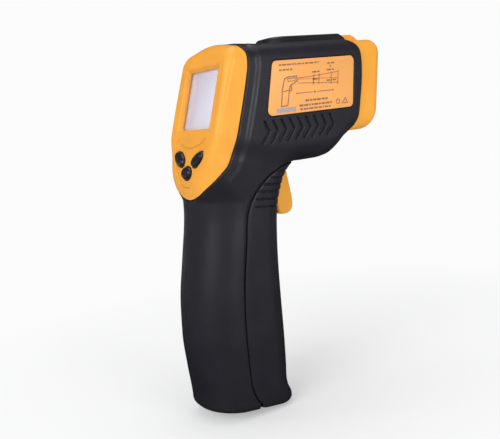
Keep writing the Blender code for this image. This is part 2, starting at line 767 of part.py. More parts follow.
def laser():
    axis, line = (1, 0, 0), Vector((0, 0, LASER_HEIGHT))
    body = [(0, 50.0), (2.6, 50.0), (2.6, 52.0), (3.2, 52.0), (3.2, 64.0), (0, 64.0)]
    turned("laser_module", line, axis, body, BRASS, 20)
    holder = block("laser_holder", (54.0, -5.5, 133.2), (61.0, 5.5, 141.2), DARK)
    cut(holder, rod("hole", (50, 0, LASER_HEIGHT), (70, 0, LASER_HEIGHT), 3.5, sides=20))
    disc = [(0, 74.3), (2.55, 74.3), (2.55, 75.3), (0, 75.3)]
    turned("laser_window", line, axis, disc, CLEAR, 16)


# ---------------------------------------------------------------- battery and wiring


def battery():
    width, depth, height = BATTERY
    rear, foot = BATTERY_REAR, BATTERY_FOOT
    half = width / 2
    rim = 1.6
    rings = []
    for level, inset in ((foot, 0.6), (foot + 0.6, 0), (foot + height - 0.6, 0), (foot + height, 0.6)):
        section = [
            (rear + inset, rim - half + inset), (rear + rim, inset - half),
            (rear + depth - rim, inset - half), (rear + depth - inset, rim - half + inset),
            (rear + depth - inset, half - rim - inset), (rear + depth - rim, half - inset),
            (rear + rim, half - inset), (rear + inset, half - rim - inset),
        ]
        rings.append([grip_point(a, w, level) for a, w in section])
    block_body = loft("battery", rings, CELL)
    middle = rear + depth / 2
    for side, radius in ((-1, 2.9), (1, 3.6)):
        low = grip_point(middle, side * 6.4, foot + height - 1)
        high = grip_point(middle, side * 6.4, foot + height + 2.0)
        join(block_body, rod("terminal", low, high, radius, STEEL, 12))
    return block_body


def battery_snap():
    top = BATTERY_FOOT + BATTERY[2] + 2.3
    low = (BATTERY_REAR + 1.5, -12.4, top)
    high = (BATTERY_REAR + BATTERY[1] - 1.5, 12.4, top + 3.2)
    return block("battery_snap", low, high, DARK, grip_point)


def leads():
    top = BATTERY_FOOT + BATTERY[2] + 2.3 + 3.2
    for name, side, look in (("battery_lead_red", -1, RED), ("battery_lead_black", 1, SLEEVE)):
        knots = [
            grip_point(-3.0, side * 5.0, top + 1.0), grip_point(-5.0, side * 5.0, top + 5.0),
            grip_point(-9.0, side * 4.0, top + 12.0), grip_point(-11.5, side * 3.0, top + 20.0),
            face_point(side * 3.0, -30.0, 11.2),
        ]
        wire(name, smooth_path(knots, 3), 0.6, look, 6)
    knots = [(49.4, 0, LASER_HEIGHT), (44, 0, 137.0), (36, 0, 136.4), (24, -6, 131), (16, -8, 128),
             face_point(-8, 8, 10.9)]
    wire("laser_lead", smooth_path(knots, 3), 0.6, RED, 6)
    ribbon_path = smooth_path([(29.4, 0, 118), (24, 0, 118.6), (18, 0, 120.5), (11.2, 0, 123)], 3)
    rings = []
    for place in ribbon_path:
        corners = ((-3.5, -0.25), (3.5, -0.25), (3.5, 0.25), (-3.5, 0.25))
        rings.append([place + Vector((0, y, z)) for y, z in corners])
    loft("sensor_ribbon", rings, WHITE)


def case_screws():
    for key, place in SHELL_SCREWS.items():
        profile = [(0, 0), (1.0, 0), (1.0, 17.6), (2.5, 17.6), (2.5, 18.6), (1.6, 19.3), (0, 19.3)]
        tip = Vector((place.x, -9.0, place.z))
        turned("case_screw_" + key, tip, (0, 1, 0), profile, STEEL, 12)


# ---------------------------------------------------------------- assembly


def body():
    """Parts the moulded skin into its shells, bezel and door."""
    skin = full_skin()
    rear_bezel(skin)
    battery_door(skin)
    cut(skin, bezel_region("behind", GAP), nose_region("ahead", 0.0), door_region("below", 0.0))
    shell_half("right_shell", skin, -1)
    shell_half("left_shell", skin, 1)
    bpy.data.objects.remove(skin)


def set_pivot(name, place):
    """Moves an object's origin onto its joint axis and leaves the shape in place."""
    obj = bpy.data.objects[name]
    shift = (Vector(place) - ORIGIN) * MM
    for point in obj.data.vertices:
        point.co -= shift
    obj.location = shift


clear_scene()
body()
nose_cover()
display_window()
labels()
trigger()
trigger_pin()
trigger_spring()
trigger_switch()
switch_plunger()
keys()
display_parts()
main_board()
processor()
optics()
laser()
battery()
battery_snap()
leads()
case_screws()
set_pivot("trigger", (PIVOT[0], 0, PIVOT[1]))
set_pivot("battery_door", grip_point(HINGE[0], 0, HINGE[1]))
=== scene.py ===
"""Looks of the infrared thermometer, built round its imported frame.

The moulded pieces are drawn as distance fields: a function gives how far a point lies
outside a piece, and its zero surface becomes the mesh. Lengths are in millimetres in a
drafting frame, +X along the barrel and +Y to the gun's left; the frame's trigger pin
fixes where that drafting frame sits in the world.
"""

import functools
import math

import bmesh
import bpy
import numpy as np
from mathutils import Euler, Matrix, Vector


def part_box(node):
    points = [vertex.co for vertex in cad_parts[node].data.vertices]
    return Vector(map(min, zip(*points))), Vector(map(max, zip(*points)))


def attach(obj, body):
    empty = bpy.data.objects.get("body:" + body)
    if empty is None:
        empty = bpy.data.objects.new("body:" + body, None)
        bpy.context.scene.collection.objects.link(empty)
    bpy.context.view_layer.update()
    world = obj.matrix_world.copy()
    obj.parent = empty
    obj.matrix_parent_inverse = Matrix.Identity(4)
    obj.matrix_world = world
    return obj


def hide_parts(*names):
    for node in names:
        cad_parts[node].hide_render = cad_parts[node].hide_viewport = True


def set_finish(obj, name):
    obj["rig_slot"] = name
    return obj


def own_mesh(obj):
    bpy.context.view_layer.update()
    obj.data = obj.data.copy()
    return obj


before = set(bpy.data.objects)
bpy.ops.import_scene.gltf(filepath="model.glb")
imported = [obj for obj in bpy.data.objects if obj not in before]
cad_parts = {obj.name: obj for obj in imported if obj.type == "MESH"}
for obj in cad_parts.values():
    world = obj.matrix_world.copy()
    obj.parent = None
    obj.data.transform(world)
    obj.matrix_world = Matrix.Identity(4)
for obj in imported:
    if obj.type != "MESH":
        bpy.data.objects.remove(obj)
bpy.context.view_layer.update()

MM = 0.001
PIVOT = (28.0, 0.0, 100.6)  # trigger pin in the drafting frame
pin_low, pin_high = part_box("trigger_pin")
ZERO = (pin_low + pin_high) / 2 - Vector(PIVOT) * MM

WALL = 2.2  # thickness of every moulded wall
GAP = 0.3  # clearance between neighbouring pieces
EDGE = 0.35  # rounding of a moulded edge
UNDER = 1.2  # inner walls and posts stop this far under the surface
HEAD_HALF = 20.3  # half the barrel's width
HEAD_TOP = 144.0  # top of the barrel beside the spine, before the shoulder's step
RIDGE_TOP = 147.2
RIDGE_HALF = 8.0
MID_HEIGHT = 125.3  # height of the face's zero point, near the display's middle
REAR_SLOPE = 0.323  # forward lean of the sections at the display
FRONT_SLOPE = 0.158  # and at the nose
SLOPE_FALL = (REAR_SLOPE - FRONT_SLOPE) / 77.7  # change of lean along the barrel
FACE_STATION = -3.2
NOSE_STATION = 76.1
LEAN = math.radians(7.0)  # lean of the grip
SHOULDER = 0.65  # step behind the bezel
CROWN = 2.3  # doming of the bezel's top
CROWN_HALF = 19.5  # half width of the doming
CROWN_END = 14.0  # where the doming has faded out along the barrel
CROWN_FADE = 10.0  # length of that fade
LIP = 2.0  # reach of the shells' lip behind the door's edge
LIP_UNDER = 1.68  # how far under the surface the lip's middle lies
LIP_HALF = 0.52  # half the lip's thickness
SEAM_MID = 52.5  # middle of the door seam's lipped stretch
SEAM_HALF = 45.0  # and half its height
HINGE = (3.2, 2.4)  # door hinge, along and up the grip
KNUCKLE = 2.4  # radius of the door's hinge knuckle
EAR = 8.5  # distance of the hinge's ears from the middle
PIN_BORE = 1.3  # radius of the trigger pin's bore
LABEL_SINK = 0.5  # depth of the label's recess
LABEL_DEPTHS = (0.46, 0.12)  # the label's back and front, in from the barrel's side
PRINT_DEPTHS = (0.14, 0.075)  # the print's back and front, a little proud of the label
INK_SPREAD = 1.5  # how much wider the print lies than it is drawn
LENS_HEIGHT = 122.0
LASER_HEIGHT = 136.6
DISPLAY_MID = 0.5
DISPLAY_OPENING = (24.2, 23.5)
UPPER_KEY = (4.65, 2.6)
LOWER_KEY = (3.75, 2.6)
BUTTON_LEAN = math.radians(64.0)
BUTTONS = {  # place across and up the face, lean of the oval, half length and half width
    "left": (7.4, -23.4, -BUTTON_LEAN, UPPER_KEY),
    "right": (-7.4, -23.4, BUTTON_LEAN, UPPER_KEY),
    "lower": (0.0, -28.8, math.pi / 2, LOWER_KEY),
}
FACE_ZERO = np.array((FACE_STATION, 0.0, MID_HEIGHT))
FACE_IN = np.array((0.951737, 0.0, -0.306915))
FACE_UP = np.array((0.306915, 0.0, 0.951737))


# ---------------------------------------------------------------- fields


def rounded_common(a, b, radius):
    """Common part of two fields, its edge rounded."""
    corner = np.hypot(np.maximum(a + radius, 0), np.maximum(b + radius, 0))
    return np.minimum(np.maximum(a, b), -radius) + corner


def rounded_cut(a, b, radius):
    """The first field without the second."""
    return rounded_common(a, -b, radius)


def rounded_join(a, b, radius):
    """Both fields together, with a fillet between them."""
    return -rounded_common(-a, -b, radius)


def soft_join(a, b, reach):
    """Both fields together, flowing into each other over a reach."""
    share = np.clip(0.5 + 0.5 * (b - a) / reach, 0, 1)
    return b + (a - b) * share - reach * share * (1 - share)


def smooth_step(share):
    """Eases from 0 to 1 as the share goes from 0 to 1."""
    share = np.clip(share, 0, 1)
    return share * share * (3 - 2 * share)


def smooth_curve(*knots):
    """A smooth function through (input, value) knots, without overshoot."""
    at = np.array([k[0] for k in knots], float)
    value = np.array([k[1] for k in knots], float)
    step = np.diff(at)
    rise = np.diff(value) / step
    slope = np.zeros(len(at))
    slope[0], slope[-1] = rise[0], rise[-1]
    for i in range(1, len(at) - 1):
        if rise[i - 1] * rise[i] > 0:
            slope[i] = 2 * rise[i - 1] * rise[i] / (rise[i - 1] + rise[i])
    table_at = np.linspace(at[0], at[-1], 800)
    cell = np.clip(np.searchsorted(at, table_at, side="right") - 1, 0, len(step) - 1)
    t = (table_at - at[cell]) / step[cell]
    table = (
        value[cell] * (1 + 2 * t) * (1 - t) ** 2
        + slope[cell] * step[cell] * t * (1 - t) ** 2
        + value[cell + 1] * t * t * (3 - 2 * t)
        + slope[cell + 1] * step[cell] * t * t * (t - 1)
    )
    return lambda x: np.interp(x, table_at, table)


def side_of(curve, across, along):
    """Distance of (across, along) beyond the line across = curve(along)."""
    small = 0.05
    slope = (curve(along + small) - curve(along - small)) / (2 * small)
    return (across - curve(along)) / np.sqrt(1 + slope * slope)


def within(value, middle, half):
    """Negative where a value lies within half of a middle."""
    return np.abs(value - middle) - half


def common(*fields):
    """Common part of several fields, with sharp edges."""
    return functools.reduce(np.maximum, fields)


def thin_wall(form, surface=None):
    """The skin of a form, as thick as every moulded wall."""
    return rounded_common(form if surface is None else surface, -form - WALL, EDGE)


def outline_field(points, margin=8.0, cell=0.2):
    """A distance function for a closed outline, read from a fine grid."""
    points = np.array(points, float)
    low, high = points.min(0) - margin, points.max(0) + margin
    across = np.arange(low[0], high[0] + cell, cell)
    along = np.arange(low[1], high[1] + cell, cell)
    px, pz = np.meshgrid(across, along, indexing="ij")
    nearest = np.full(px.shape, 1e9)
    inside = np.zeros(px.shape, bool)
    for (ax, az), (bx, bz) in zip(points, np.roll(points, -1, axis=0)):
        ex, ez = bx - ax, bz - az
        share = np.clip(((px - ax) * ex + (pz - az) * ez) / (ex * ex + ez * ez + 1e-12), 0, 1)
        nearest = np.minimum(nearest, np.hypot(px - ax - share * ex, pz - az - share * ez))
        if az != bz:
            crossing = (az > pz) != (bz > pz)
            inside ^= crossing & (px < ax + (pz - az) * ex / ez)
    table = np.where(inside, -nearest, nearest)

    def field(x, z):
        i = np.clip((x - low[0]) / cell, 0, table.shape[0] - 1.001)
        j = np.clip((z - low[1]) / cell, 0, table.shape[1] - 1.001)
        i0, j0 = i.astype(np.int32), j.astype(np.int32)
        fi, fj = i - i0, j - j0
        lower = table[i0, j0] * (1 - fi) + table[i0 + 1, j0] * fi
        upper = table[i0, j0 + 1] * (1 - fi) + table[i0 + 1, j0 + 1] * fi
        return lower * (1 - fj) + upper * fj

    return field


def smooth_line(knots, steps=6, closed=False):
    """Points of a curve through the knots."""
    knots = [np.array(k, float) for k in knots]
    if closed:
        ring = [knots[-1]] + knots + knots[:2]
    else:
        ring = [2 * knots[0] - knots[1]] + knots + [2 * knots[-1] - knots[-2]]
    line = []
    for a, b, c, d in zip(ring, ring[1:], ring[2:], ring[3:]):
        for i in range(steps):
            t = i / steps
            line.append(0.5 * (2 * b + (c - a) * t + (2 * a - 5 * b + 4 * c - d) * t * t
                               + (3 * b - a - 3 * c + d) * t ** 3))
    if not closed:
        line.append(knots[-1])
    return line


def box_field(a, b, c, low, high, radius):
    """A rounded box in any three coordinates."""
    parts = []
    for value, start, end in zip((a, b, c), low, high):
        parts.append(np.abs(value - (start + end) / 2) - (end - start) / 2 + radius)
    outside = np.sqrt(sum(np.maximum(p, 0) ** 2 for p in parts))
    return outside + np.minimum(np.maximum(np.maximum(parts[0], parts[1]), parts[2]), 0) - radius


def rounded_section(level, width, low, high, half, low_radius, high_radius):
    """A four-cornered section whose lower and upper corners have their own radii."""
    middle = (low + high) / 2
    radius = np.where(level < middle, low_radius, high_radius)
    over = np.abs(level - middle) - (high - low) / 2 + radius
    beside = np.abs(width) - half + radius
    return (np.hypot(np.maximum(over, 0), np.maximum(beside, 0))
            + np.minimum(np.maximum(over, beside), 0) - radius)


def face_frame(x, y, z):
    """Width, height up the display face and depth into the body."""
    dx, dz = x - FACE_ZERO[0], z - FACE_ZERO[2]
    return y, dx * FACE_UP[0] + dz * FACE_UP[2], dx * FACE_IN[0] + dz * FACE_IN[2]


def grip_frame(x, z):
    """Place along and height up the leaning grip."""
    along = math.cos(LEAN) * x - math.sin(LEAN) * z
    return along, math.sin(LEAN) * x + math.cos(LEAN) * z


def grip_place(along, width, height):
    x = math.cos(LEAN) * along + math.sin(LEAN) * height
    return np.array((x, width, math.cos(LEAN) * height - math.sin(LEAN) * along))


def face_place(width, up, depth):
    return FACE_ZERO + FACE_UP * up + FACE_IN * depth + np.array((0.0, width, 0.0))


# ---------------------------------------------------------------- outer form

head_floor = smooth_curve((-6, 105.5), (9, 102.5), (15, 101.0), (33, 97.0), (47, 97.0), (51.5, 97.6),
                          (54.5, 99.3), (59.5, 103.8), (62, 104.9), (66, 105.4), (90, 105.4))
head_top_radius = smooth_curve((-7, 5.5), (-3, 5.5), (3, 6.0), (8, 6.4), (14, 6.4), (90, 6.3))

grip_rear = smooth_curve((-4, -18.8), (3.4, -19.7), (8, -20.5), (17, -22.3), (30, -24.3), (45, -24.9),
                         (60, -23.9), (76, -22.7), (84, -22.5), (87, -23.6), (90, -25.0), (96, -26.2),
                         (103, -25.5), (126, -22.0))
grip_front = smooth_curve((-4, 18.8), (2.0, 19.3), (4.0, 19.0), (7.5, 17.2), (11, 16.4), (17, 16.0),
                          (30, 14.9), (45, 13.4), (60, 12.1), (70, 11.6), (77, 11.5), (84, 11.9),
                          (89, 12.7), (94, 14.0), (98.5, 16.3), (116, 23.0))
grip_half = smooth_curve((-4, 16.2), (8, 16.6), (30, 17.0), (76, 17.0), (84, 17.2), (90, 17.7),
                         (96, 18.3), (101, 18.8), (106, 18.4), (112, 16.6), (119, 13.5), (130, 8.0))
grip_rear_radius = smooth_curve((-4, 14.5), (8, 16.0), (30, 16.6), (76, 16.4), (84, 15.5), (89, 14.0),
                                (92, 12.8), (96, 11.8), (101, 10.0), (106, 8.0), (130, 6.0))

# How far back the display face lies at each height; it turns upright near the tip.
face_back = smooth_curve((0, -60.0), (76, -22.0), (82, -15.5), (86.5, -13.4), (90, -13.1), (93.5, -12.8),
                         (98, -11.95), (103, -10.4), (MID_HEIGHT, FACE_STATION), (160, 8.0))

# How far forward the bezel reaches at each height, in the side view.
bezel_line = smooth_curve((60, -11.4), (86, -11.2), (90.7, -10.3), (93.5, -8.6), (96.7, -6.0), (100.1, -3.0),
                          (104.7, -0.6), (109.5, 1.2), (117.0, 3.8), (125.3, 6.5), (131.8, 8.4),
                          (136.0, 9.4), (140.0, 9.6), (143.0, 8.6), (150.0, 6.4))


def head_station(x, z):
    """Where a point falls along the barrel, whose sections lean with the display."""
    height = z - MID_HEIGHT
    return (x - height * (REAR_SLOPE - 2 * SLOPE_FALL)) / (1 - height * SLOPE_FALL)


def head_field(x, y, z):
    station = head_station(x, z)
    fade = smooth_step((CROWN_END - station) / CROWN_FADE)
    dome = np.clip(1 - (y / CROWN_HALF) ** 2, 0, 1) ** 2 * fade
    section = rounded_section(z, y, head_floor(station), HEAD_TOP + CROWN * dome, HEAD_HALF, 8.0,
                              head_top_radius(station))
    return rounded_common(section, station - 90.0, 1.0)


def grip_field(x, y, z):
    along, height = grip_frame(x, z)
    half = grip_half(height)
    section = rounded_section(along, y, grip_rear(height), grip_front(height), half,
                              grip_rear_radius(height), np.minimum(8.5, half - 2.0))
    section = rounded_common(section, -height, 3.0)
    return np.maximum(section, height - 126.0)


def ridge_field(x, y, z):
    """The raised spine along the top, with a sloping rear end."""
    rear = (30.2 - x + (z - RIDGE_TOP) * 0.5) / 1.12
    side = np.abs(y) - RIDGE_HALF - (RIDGE_TOP - z) * 0.35
    field = rounded_common(side, rear, 5.5)
    field = rounded_common(z - RIDGE_TOP, field, 0.9)
    return np.maximum(field, HEAD_TOP - 3.5 - z)


def shoulder(x, z):
    """How much the body stands back behind the crease that follows the bezel."""
    ahead = smooth_step((side_of(bezel_line, x, z) - 3.2) / 2.4)
    return SHOULDER * (1 - ahead) * smooth_step((z - 88.0) / 26.0)


def body_field(x, y, z):
    """The whole outer form of the black shells, bezel and door."""
    body = soft_join(head_field(x, y, z), grip_field(x, y, z), 3.5)
    body = body + shoulder(x, z)
    face = -side_of(face_back, x, z)
    body = rounded_common(body, face, np.interp(z, (122.0, 142.0), (2.2, 3.6)))
    return rounded_join(body, ridge_field(x, y, z), 0.5)


# ---------------------------------------------------------------- parting lines

shield_half = smooth_curve((0, 86.5), (2.8, 86.9), (7.1, 88.3), (11.7, 90.7), (15.7, 93.5), (18.3, 96.5),
                           (20.5, 100.5), (23.0, 105.5), (27.0, 110.0), (30.0, 116.0))


def shield_line(width):
    """Lowest height of the bezel at each distance from the middle, seen from behind."""
    return shield_half(np.abs(width))


nose_line = smooth_curve((100, 56.0), (105.6, 56.9), (107.8, 58.9), (112.0, 61.1), (117.7, 62.5),
                         (123.9, 63.9), (130.2, 64.8), (134.9, 65.1), (138.6, 64.7), (141.0, 63.7),
                         (142.9, 61.8), (144.6, 59.3), (150, 54.5))
DOOR_KNOTS = (  # the door's rear edge from the trigger down, in the side view
    (24.0, 97.1), (19.1, 95.6), (14.2, 93.1), (9.3, 89.2), (5.7, 85.0), (3.4, 80.7), (2.2, 76.0),
    (1.2, 69.0), (-0.7, 57.0), (-1.9, 47.0), (-2.8, 36.0), (-3.1, 22.0), (-2.7, 11.0), (-0.7, 4.6),
)


def bezel_field(x, y, z):
    """Negative where the rear bezel is."""
    side = side_of(bezel_line, x, z)
    shield = -side_of(shield_line, z, y)
    return rounded_common(side, shield, 2.0)


def nose_edge_field(x, y, z):
    """Negative ahead of the nose's rear edge; the spine is parted by a slant."""
    side = -side_of(nose_line, x, z)
    spine = (64.3 + (RIDGE_TOP - z) * 1.0 - x) * 0.707
    on_spine = np.maximum(np.abs(y) - RIDGE_HALF - 0.9, 144.3 - z)
    return np.where(on_spine < 0, spine, side)


def door_outline():
    edge = smooth_line(DOOR_KNOTS)
    hinge = grip_place(HINGE[0], 0, HINGE[1])
    for degrees in range(180, 271, 15):
        turn = math.radians(degrees) - LEAN
        edge.append((hinge[0] + KNUCKLE * math.cos(turn), hinge[2] + KNUCKLE * math.sin(turn)))
    below = grip_place(HINGE[0], 0, -5.0)
    edge += [(below[0], below[2]), (45.0, -10.0), (45.0, 88.0), (36.0, 96.0), (30.0, 97.3)]
    return edge


# Negative where the battery door is, in the side view.
door_region = outline_field(door_outline())


# ---------------------------------------------------------------- meshing


def sampled(field, low, high, cell):
    """Field values on a grid, exact near the surface and only signed elsewhere."""
    block = 4
    counts = np.ceil((high - low) / (cell * block)).astype(int)
    centres = [low[i] + (np.arange(counts[i]) + 0.5) * block * cell for i in range(3)]
    coarse = field(*np.meshgrid(*centres, indexing="ij"))
    far = np.sign(coarse) * 9.0
    near = np.abs(coarse) < block * cell * 1.4
    for axis in range(3):
        far = np.repeat(far, block, axis)
        near = np.repeat(near, block, axis)
    place = np.nonzero(near)
    far[place] = field(*(low[i] + place[i] * cell for i in range(3)))
    return far


def skin(values, low, cell):
    """Points and four-sided faces of the zero surface of a grid of values."""
    inside = values < 0
    cells = np.array(values.shape) - 1
    corners = [(a, b, c) for a in (0, 1) for b in (0, 1) for c in (0, 1)]
    count = np.zeros(cells, np.int8)
    for a, b, c in corners:
        count += inside[a:cells[0] + a, b:cells[1] + b, c:cells[2] + c]
    mixed = (count > 0) & (count < 8)
    where = np.argwhere(mixed)
    index = np.full(mixed.shape, -1)
    index[mixed] = np.arange(len(where))
    total = np.zeros((len(where), 3))
    hits = np.zeros(len(where))
    for axis in range(3):
        step = np.eye(3, dtype=int)[axis]
        for corner in corners:
            if corner[axis]:
                continue
            start = where + np.array(corner)
            va = values[tuple(start.T)]
            vb = values[tuple((start + step).T)]
            crossing = (va < 0) != (vb < 0)
            share = np.where(crossing, va / np.where(crossing, va - vb, 1.0), 0.0)
            place = np.array(corner) + share[:, None] * step
            total += place * crossing[:, None]
            hits += crossing
    points = low + (where + total / hits[:, None]) * cell
    faces = []
    for axis in range(3):
        solid = np.moveaxis(inside, (axis, (axis + 1) % 3, (axis + 2) % 3), (0, 1, 2))
        around = np.moveaxis(index, (axis, (axis + 1) % 3, (axis + 2) % 3), (0, 1, 2))
        first, second = solid[:-1, 1:-1, 1:-1], solid[1:, 1:-1, 1:-1]
        ring = np.stack((around[:, :-1, :-1], around[:, 1:, :-1], around[:, 1:, 1:],
                         around[:, :-1, 1:]), -1)
        faces.append(ring[first & ~second])
        faces.append(ring[second & ~first][:, ::-1])
    return points, np.concatenate(faces)


def slopes(field, points, reach):
    """Field value, its gradient and its mean bend at each point."""
    value = field(*points.T)
    gradient = np.zeros_like(points)
    bend = -6.0 * value
    for axis in range(3):
        step = np.eye(3)[axis] * reach
        ahead, behind = field(*(points + step).T), field(*(points - step).T)
        gradient[:, axis] = (ahead - behind) / (2 * reach)
        bend += ahead + behind
    return value, gradient, bend / reach ** 2


def moulded(node, field, low, high, look, body="casing", cell=0.4):
    """The piece bounded by a field's zero surface, standing in for a CAD node."""
    low, high = np.array(low, float) - 1.0, np.array(high, float) + 1.0
    points, faces = skin(sampled(field, low, high, cell), low, cell)
    for _ in range(3):
        value, gradient, _bend = slopes(field, points, 0.03)
        step = gradient * (value / np.maximum((gradient ** 2).sum(1), 0.2))[:, None]
        length = np.linalg.norm(step, axis=1)
        points -= step * np.minimum(1.0, cell / 2 / np.maximum(length, 1e-9))[:, None]
    _value, gradient, _bend = slopes(field, points, 0.05)
    _value, _gradient, bend = slopes(field, points, 0.4)
    obj = stand_in(node, points, faces.tolist(), LOOKS[look], body)
    relief = obj.data.attributes.new("relief", "FLOAT", "POINT")
    relief.data.foreach_set("value", bend.astype(np.float32))
    normals = gradient / np.maximum(np.linalg.norm(gradient, axis=1), 1e-9)[:, None]
    obj.data.normals_split_custom_set_from_vertices(normals.tolist())


def piece(name, points, faces, look, body="casing"):
    """An object from drafting points, riding on a body."""
    mesh = bpy.data.meshes.new(name)
    world = np.array(points, float) * MM + np.array(ZERO)
    mesh.from_pydata(world.tolist(), [], faces)
    mesh.shade_smooth()
    mesh.materials.append(look)
    obj = bpy.data.objects.new(name, mesh)
    bpy.context.scene.collection.objects.link(obj)
    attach(obj, body)
    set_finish(obj, look["slot"])
    return obj


def stand_in(node, points, faces, look, body="casing"):
    """A finer piece in place of a CAD node."""
    obj = piece("visual_" + node, points, faces, look, body)
    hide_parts(node)
    return obj


def rounded_outline(corners, radius, steps=6):
    """A closed outline with each corner turned into an arc."""
    outline = []
    corners = [np.array(c, float) for c in corners]
    for before, corner, after in zip([corners[-1]] + corners, corners, corners[1:] + corners[:1]):
        back, ahead = before - corner, after - corner
        back, ahead = back / np.linalg.norm(back), ahead / np.linalg.norm(ahead)
        half = math.acos(np.clip(back @ ahead, -1, 1)) / 2
        reach = radius / math.tan(half)
        start, end = corner + back * reach, corner + ahead * reach
        centre = corner + (back + ahead) / np.linalg.norm(back + ahead) * radius / math.sin(half)
        for i in range(steps + 1):
            arm = start + (end - start) * i / steps - centre
            outline.append(centre + arm / np.linalg.norm(arm) * radius)
    return outline


def grown(outline, distance):
    """A closed outline moved outwards, whichever way round it goes."""
    outline = np.array(outline, float)
    before, after = np.roll(outline, 1, 0), np.roll(outline, -1, 0)
    first, second = outline - before, after - outline
    normals = []
    for edge in (first, second):
        length = np.linalg.norm(edge, axis=1)[:, None]
        normals.append(np.stack((edge[:, 1], -edge[:, 0]), 1) / np.maximum(length, 1e-9))
    normal = normals[0] + normals[1]
    normal /= np.maximum((normal ** 2).sum(1), 1e-9)[:, None] / 2
    area = (before[:, 0] * outline[:, 1] - outline[:, 0] * before[:, 1]).sum()
    return outline + normal * distance * (1 if area > 0 else -1)


def bands(rows, count, capped):
    """Faces between rings of points; the ends are capped, or joined to each other."""
    faces = []
    for low in range(rows - 1 if capped else rows):
        high = (low + 1) % rows
        for i in range(count):
            j = (i + 1) % count
            faces.append([low * count + i, low * count + j, high * count + j, high * count + i])
    if capped:
        faces.append(list(range(count)))
        faces.append([(rows - 1) * count + i for i in range(count)])
    return faces


def plate(node, outline, near, far, place, edge, look):
    """A flat piece with rounded rims; place turns (a, b, depth) into a point."""
    sign = 1 if far > near else -1
    rows = [(near, edge), (near + sign * edge * 0.3, edge * 0.3), (near + sign * edge, 0.0),
            (far - sign * edge, 0.0), (far - sign * edge * 0.3, edge * 0.3), (far, edge)]
    points = []
    for depth, inset in rows:
        points += [place(a, b, depth) for a, b in grown(outline, -inset)]
    smoothed(stand_in(node, points, bands(len(rows), len(outline), True), look), 35)


def smoothed(obj, degrees):
    """Faces outwards, with sharp edges above an angle."""
    work = bmesh.new()
    work.from_mesh(obj.data)
    bmesh.ops.recalc_face_normals(work, faces=work.faces)
    if work.calc_volume(signed=True) < 0:
        bmesh.ops.reverse_faces(work, faces=work.faces)
    work.to_mesh(obj.data)
    work.free()
    obj.data.shade_smooth()
    obj.data.set_sharp_from_angle(angle=math.radians(degrees))


def turned(node, height, profile, look):
    """A round piece about a line along the barrel, from (radius, distance) pairs."""
    sides = 96
    axis, centre = Vector((1, 0, 0)), Vector((0, 0, height))
    across = axis.orthogonal().normalized()
    other = axis.cross(across)
    solid = profile[0][0] == 0
    rows = profile[1:-1] if solid else profile
    points = []
    for radius, along in rows:
        for i in range(sides):
            turn = 2 * math.pi * i / sides
            points.append(centre + axis * along
                          + (across * math.cos(turn) + other * math.sin(turn)) * radius)
    smoothed(stand_in(node, points, bands(len(rows), sides, solid), LOOKS[look]), 30)


# ---------------------------------------------------------------- materials


class Graph:
    """A short way to write a node material."""

    def __init__(self, name, slot, roughness, metallic=0.0):
        self.material = bpy.data.materials.new(name)
        self.material.use_nodes = True
        self.material["slot"] = slot
        self.tree = self.material.node_tree
        self.shader = self.tree.nodes["Principled BSDF"]
        self.dial("Roughness", roughness)
        self.dial("Metallic", metallic)
        self.place = self.node("ShaderNodeTexCoord").outputs["Object"]

    def node(self, kind, **settings):
        made = self.tree.nodes.new(kind)
        for key, value in settings.items():
            setattr(made, key, value)
        return made

    def put(self, value, socket):
        if isinstance(value, bpy.types.NodeSocket):
            self.tree.links.new(value, socket)
        else:
            socket.default_value = value

    def noise(self, scale, detail=3.0, stretch=(1, 1, 1)):
        mapping = self.node("ShaderNodeMapping")
        self.put(self.place, mapping.inputs["Vector"])
        mapping.inputs["Scale"].default_value = stretch
        made = self.node("ShaderNodeTexNoise")
        self.put(mapping.outputs["Vector"], made.inputs["Vector"])
        made.inputs["Scale"].default_value = scale
        made.inputs["Detail"].default_value = detail
        return made.outputs["Fac"]

    def span(self, value, low, high, to_low=0.0, to_high=1.0):
        made = self.node("ShaderNodeMapRange")
        self.put(value, made.inputs["Value"])
        for key, number in (("From Min", low), ("From Max", high), ("To Min", to_low), ("To Max", to_high)):
            made.inputs[key].default_value = number
        return made.outputs["Result"]

    def mix(self, share, first, second):
        made = self.node("ShaderNodeMix", data_type="RGBA")
        self.put(share, made.inputs["Factor"])
        for value, index in ((first, 6), (second, 7)):
            if isinstance(value, tuple):
                value = (*value, 1.0)
            self.put(value, made.inputs[index])
        return made.outputs[2]

    def mix_shader(self, share, first, second):
        made = self.node("ShaderNodeMixShader")
        for value, socket in zip((share, first, second), made.inputs):
            self.put(value, socket)
        return made.outputs["Shader"]

    def glow(self, colour, strength):
        made = self.node("ShaderNodeEmission")
        made.inputs["Color"].default_value = (*colour, 1.0)
        self.put(strength, made.inputs["Strength"])
        return made.outputs["Emission"]

    def surface(self, shader):
        self.put(shader, self.tree.nodes["Material Output"].inputs["Surface"])

    def maths(self, operation, first, second):
        made = self.node("ShaderNodeMath", operation=operation)
        self.put(first, made.inputs[0])
        self.put(second, made.inputs[1])
        return made.outputs[0]

    def dial(self, name, value):
        self.put(value, self.shader.inputs[name])

    def relief(self):
        return self.node("ShaderNodeAttribute", attribute_name="relief").outputs["Fac"]

    def colour(self, value):
        self.put(value if isinstance(value, bpy.types.NodeSocket) else (*value, 1.0),
                 self.shader.inputs["Base Color"])

    def bump(self, height, distance, strength=1.0):
        made = self.node("ShaderNodeBump")
        made.inputs["Strength"].default_value = strength
        made.inputs["Distance"].default_value = distance
        self.put(height, made.inputs["Height"])
        self.put(made.outputs["Normal"], self.shader.inputs["Normal"])


def scaled(colour, factor):
    return tuple(c * factor for c in colour)


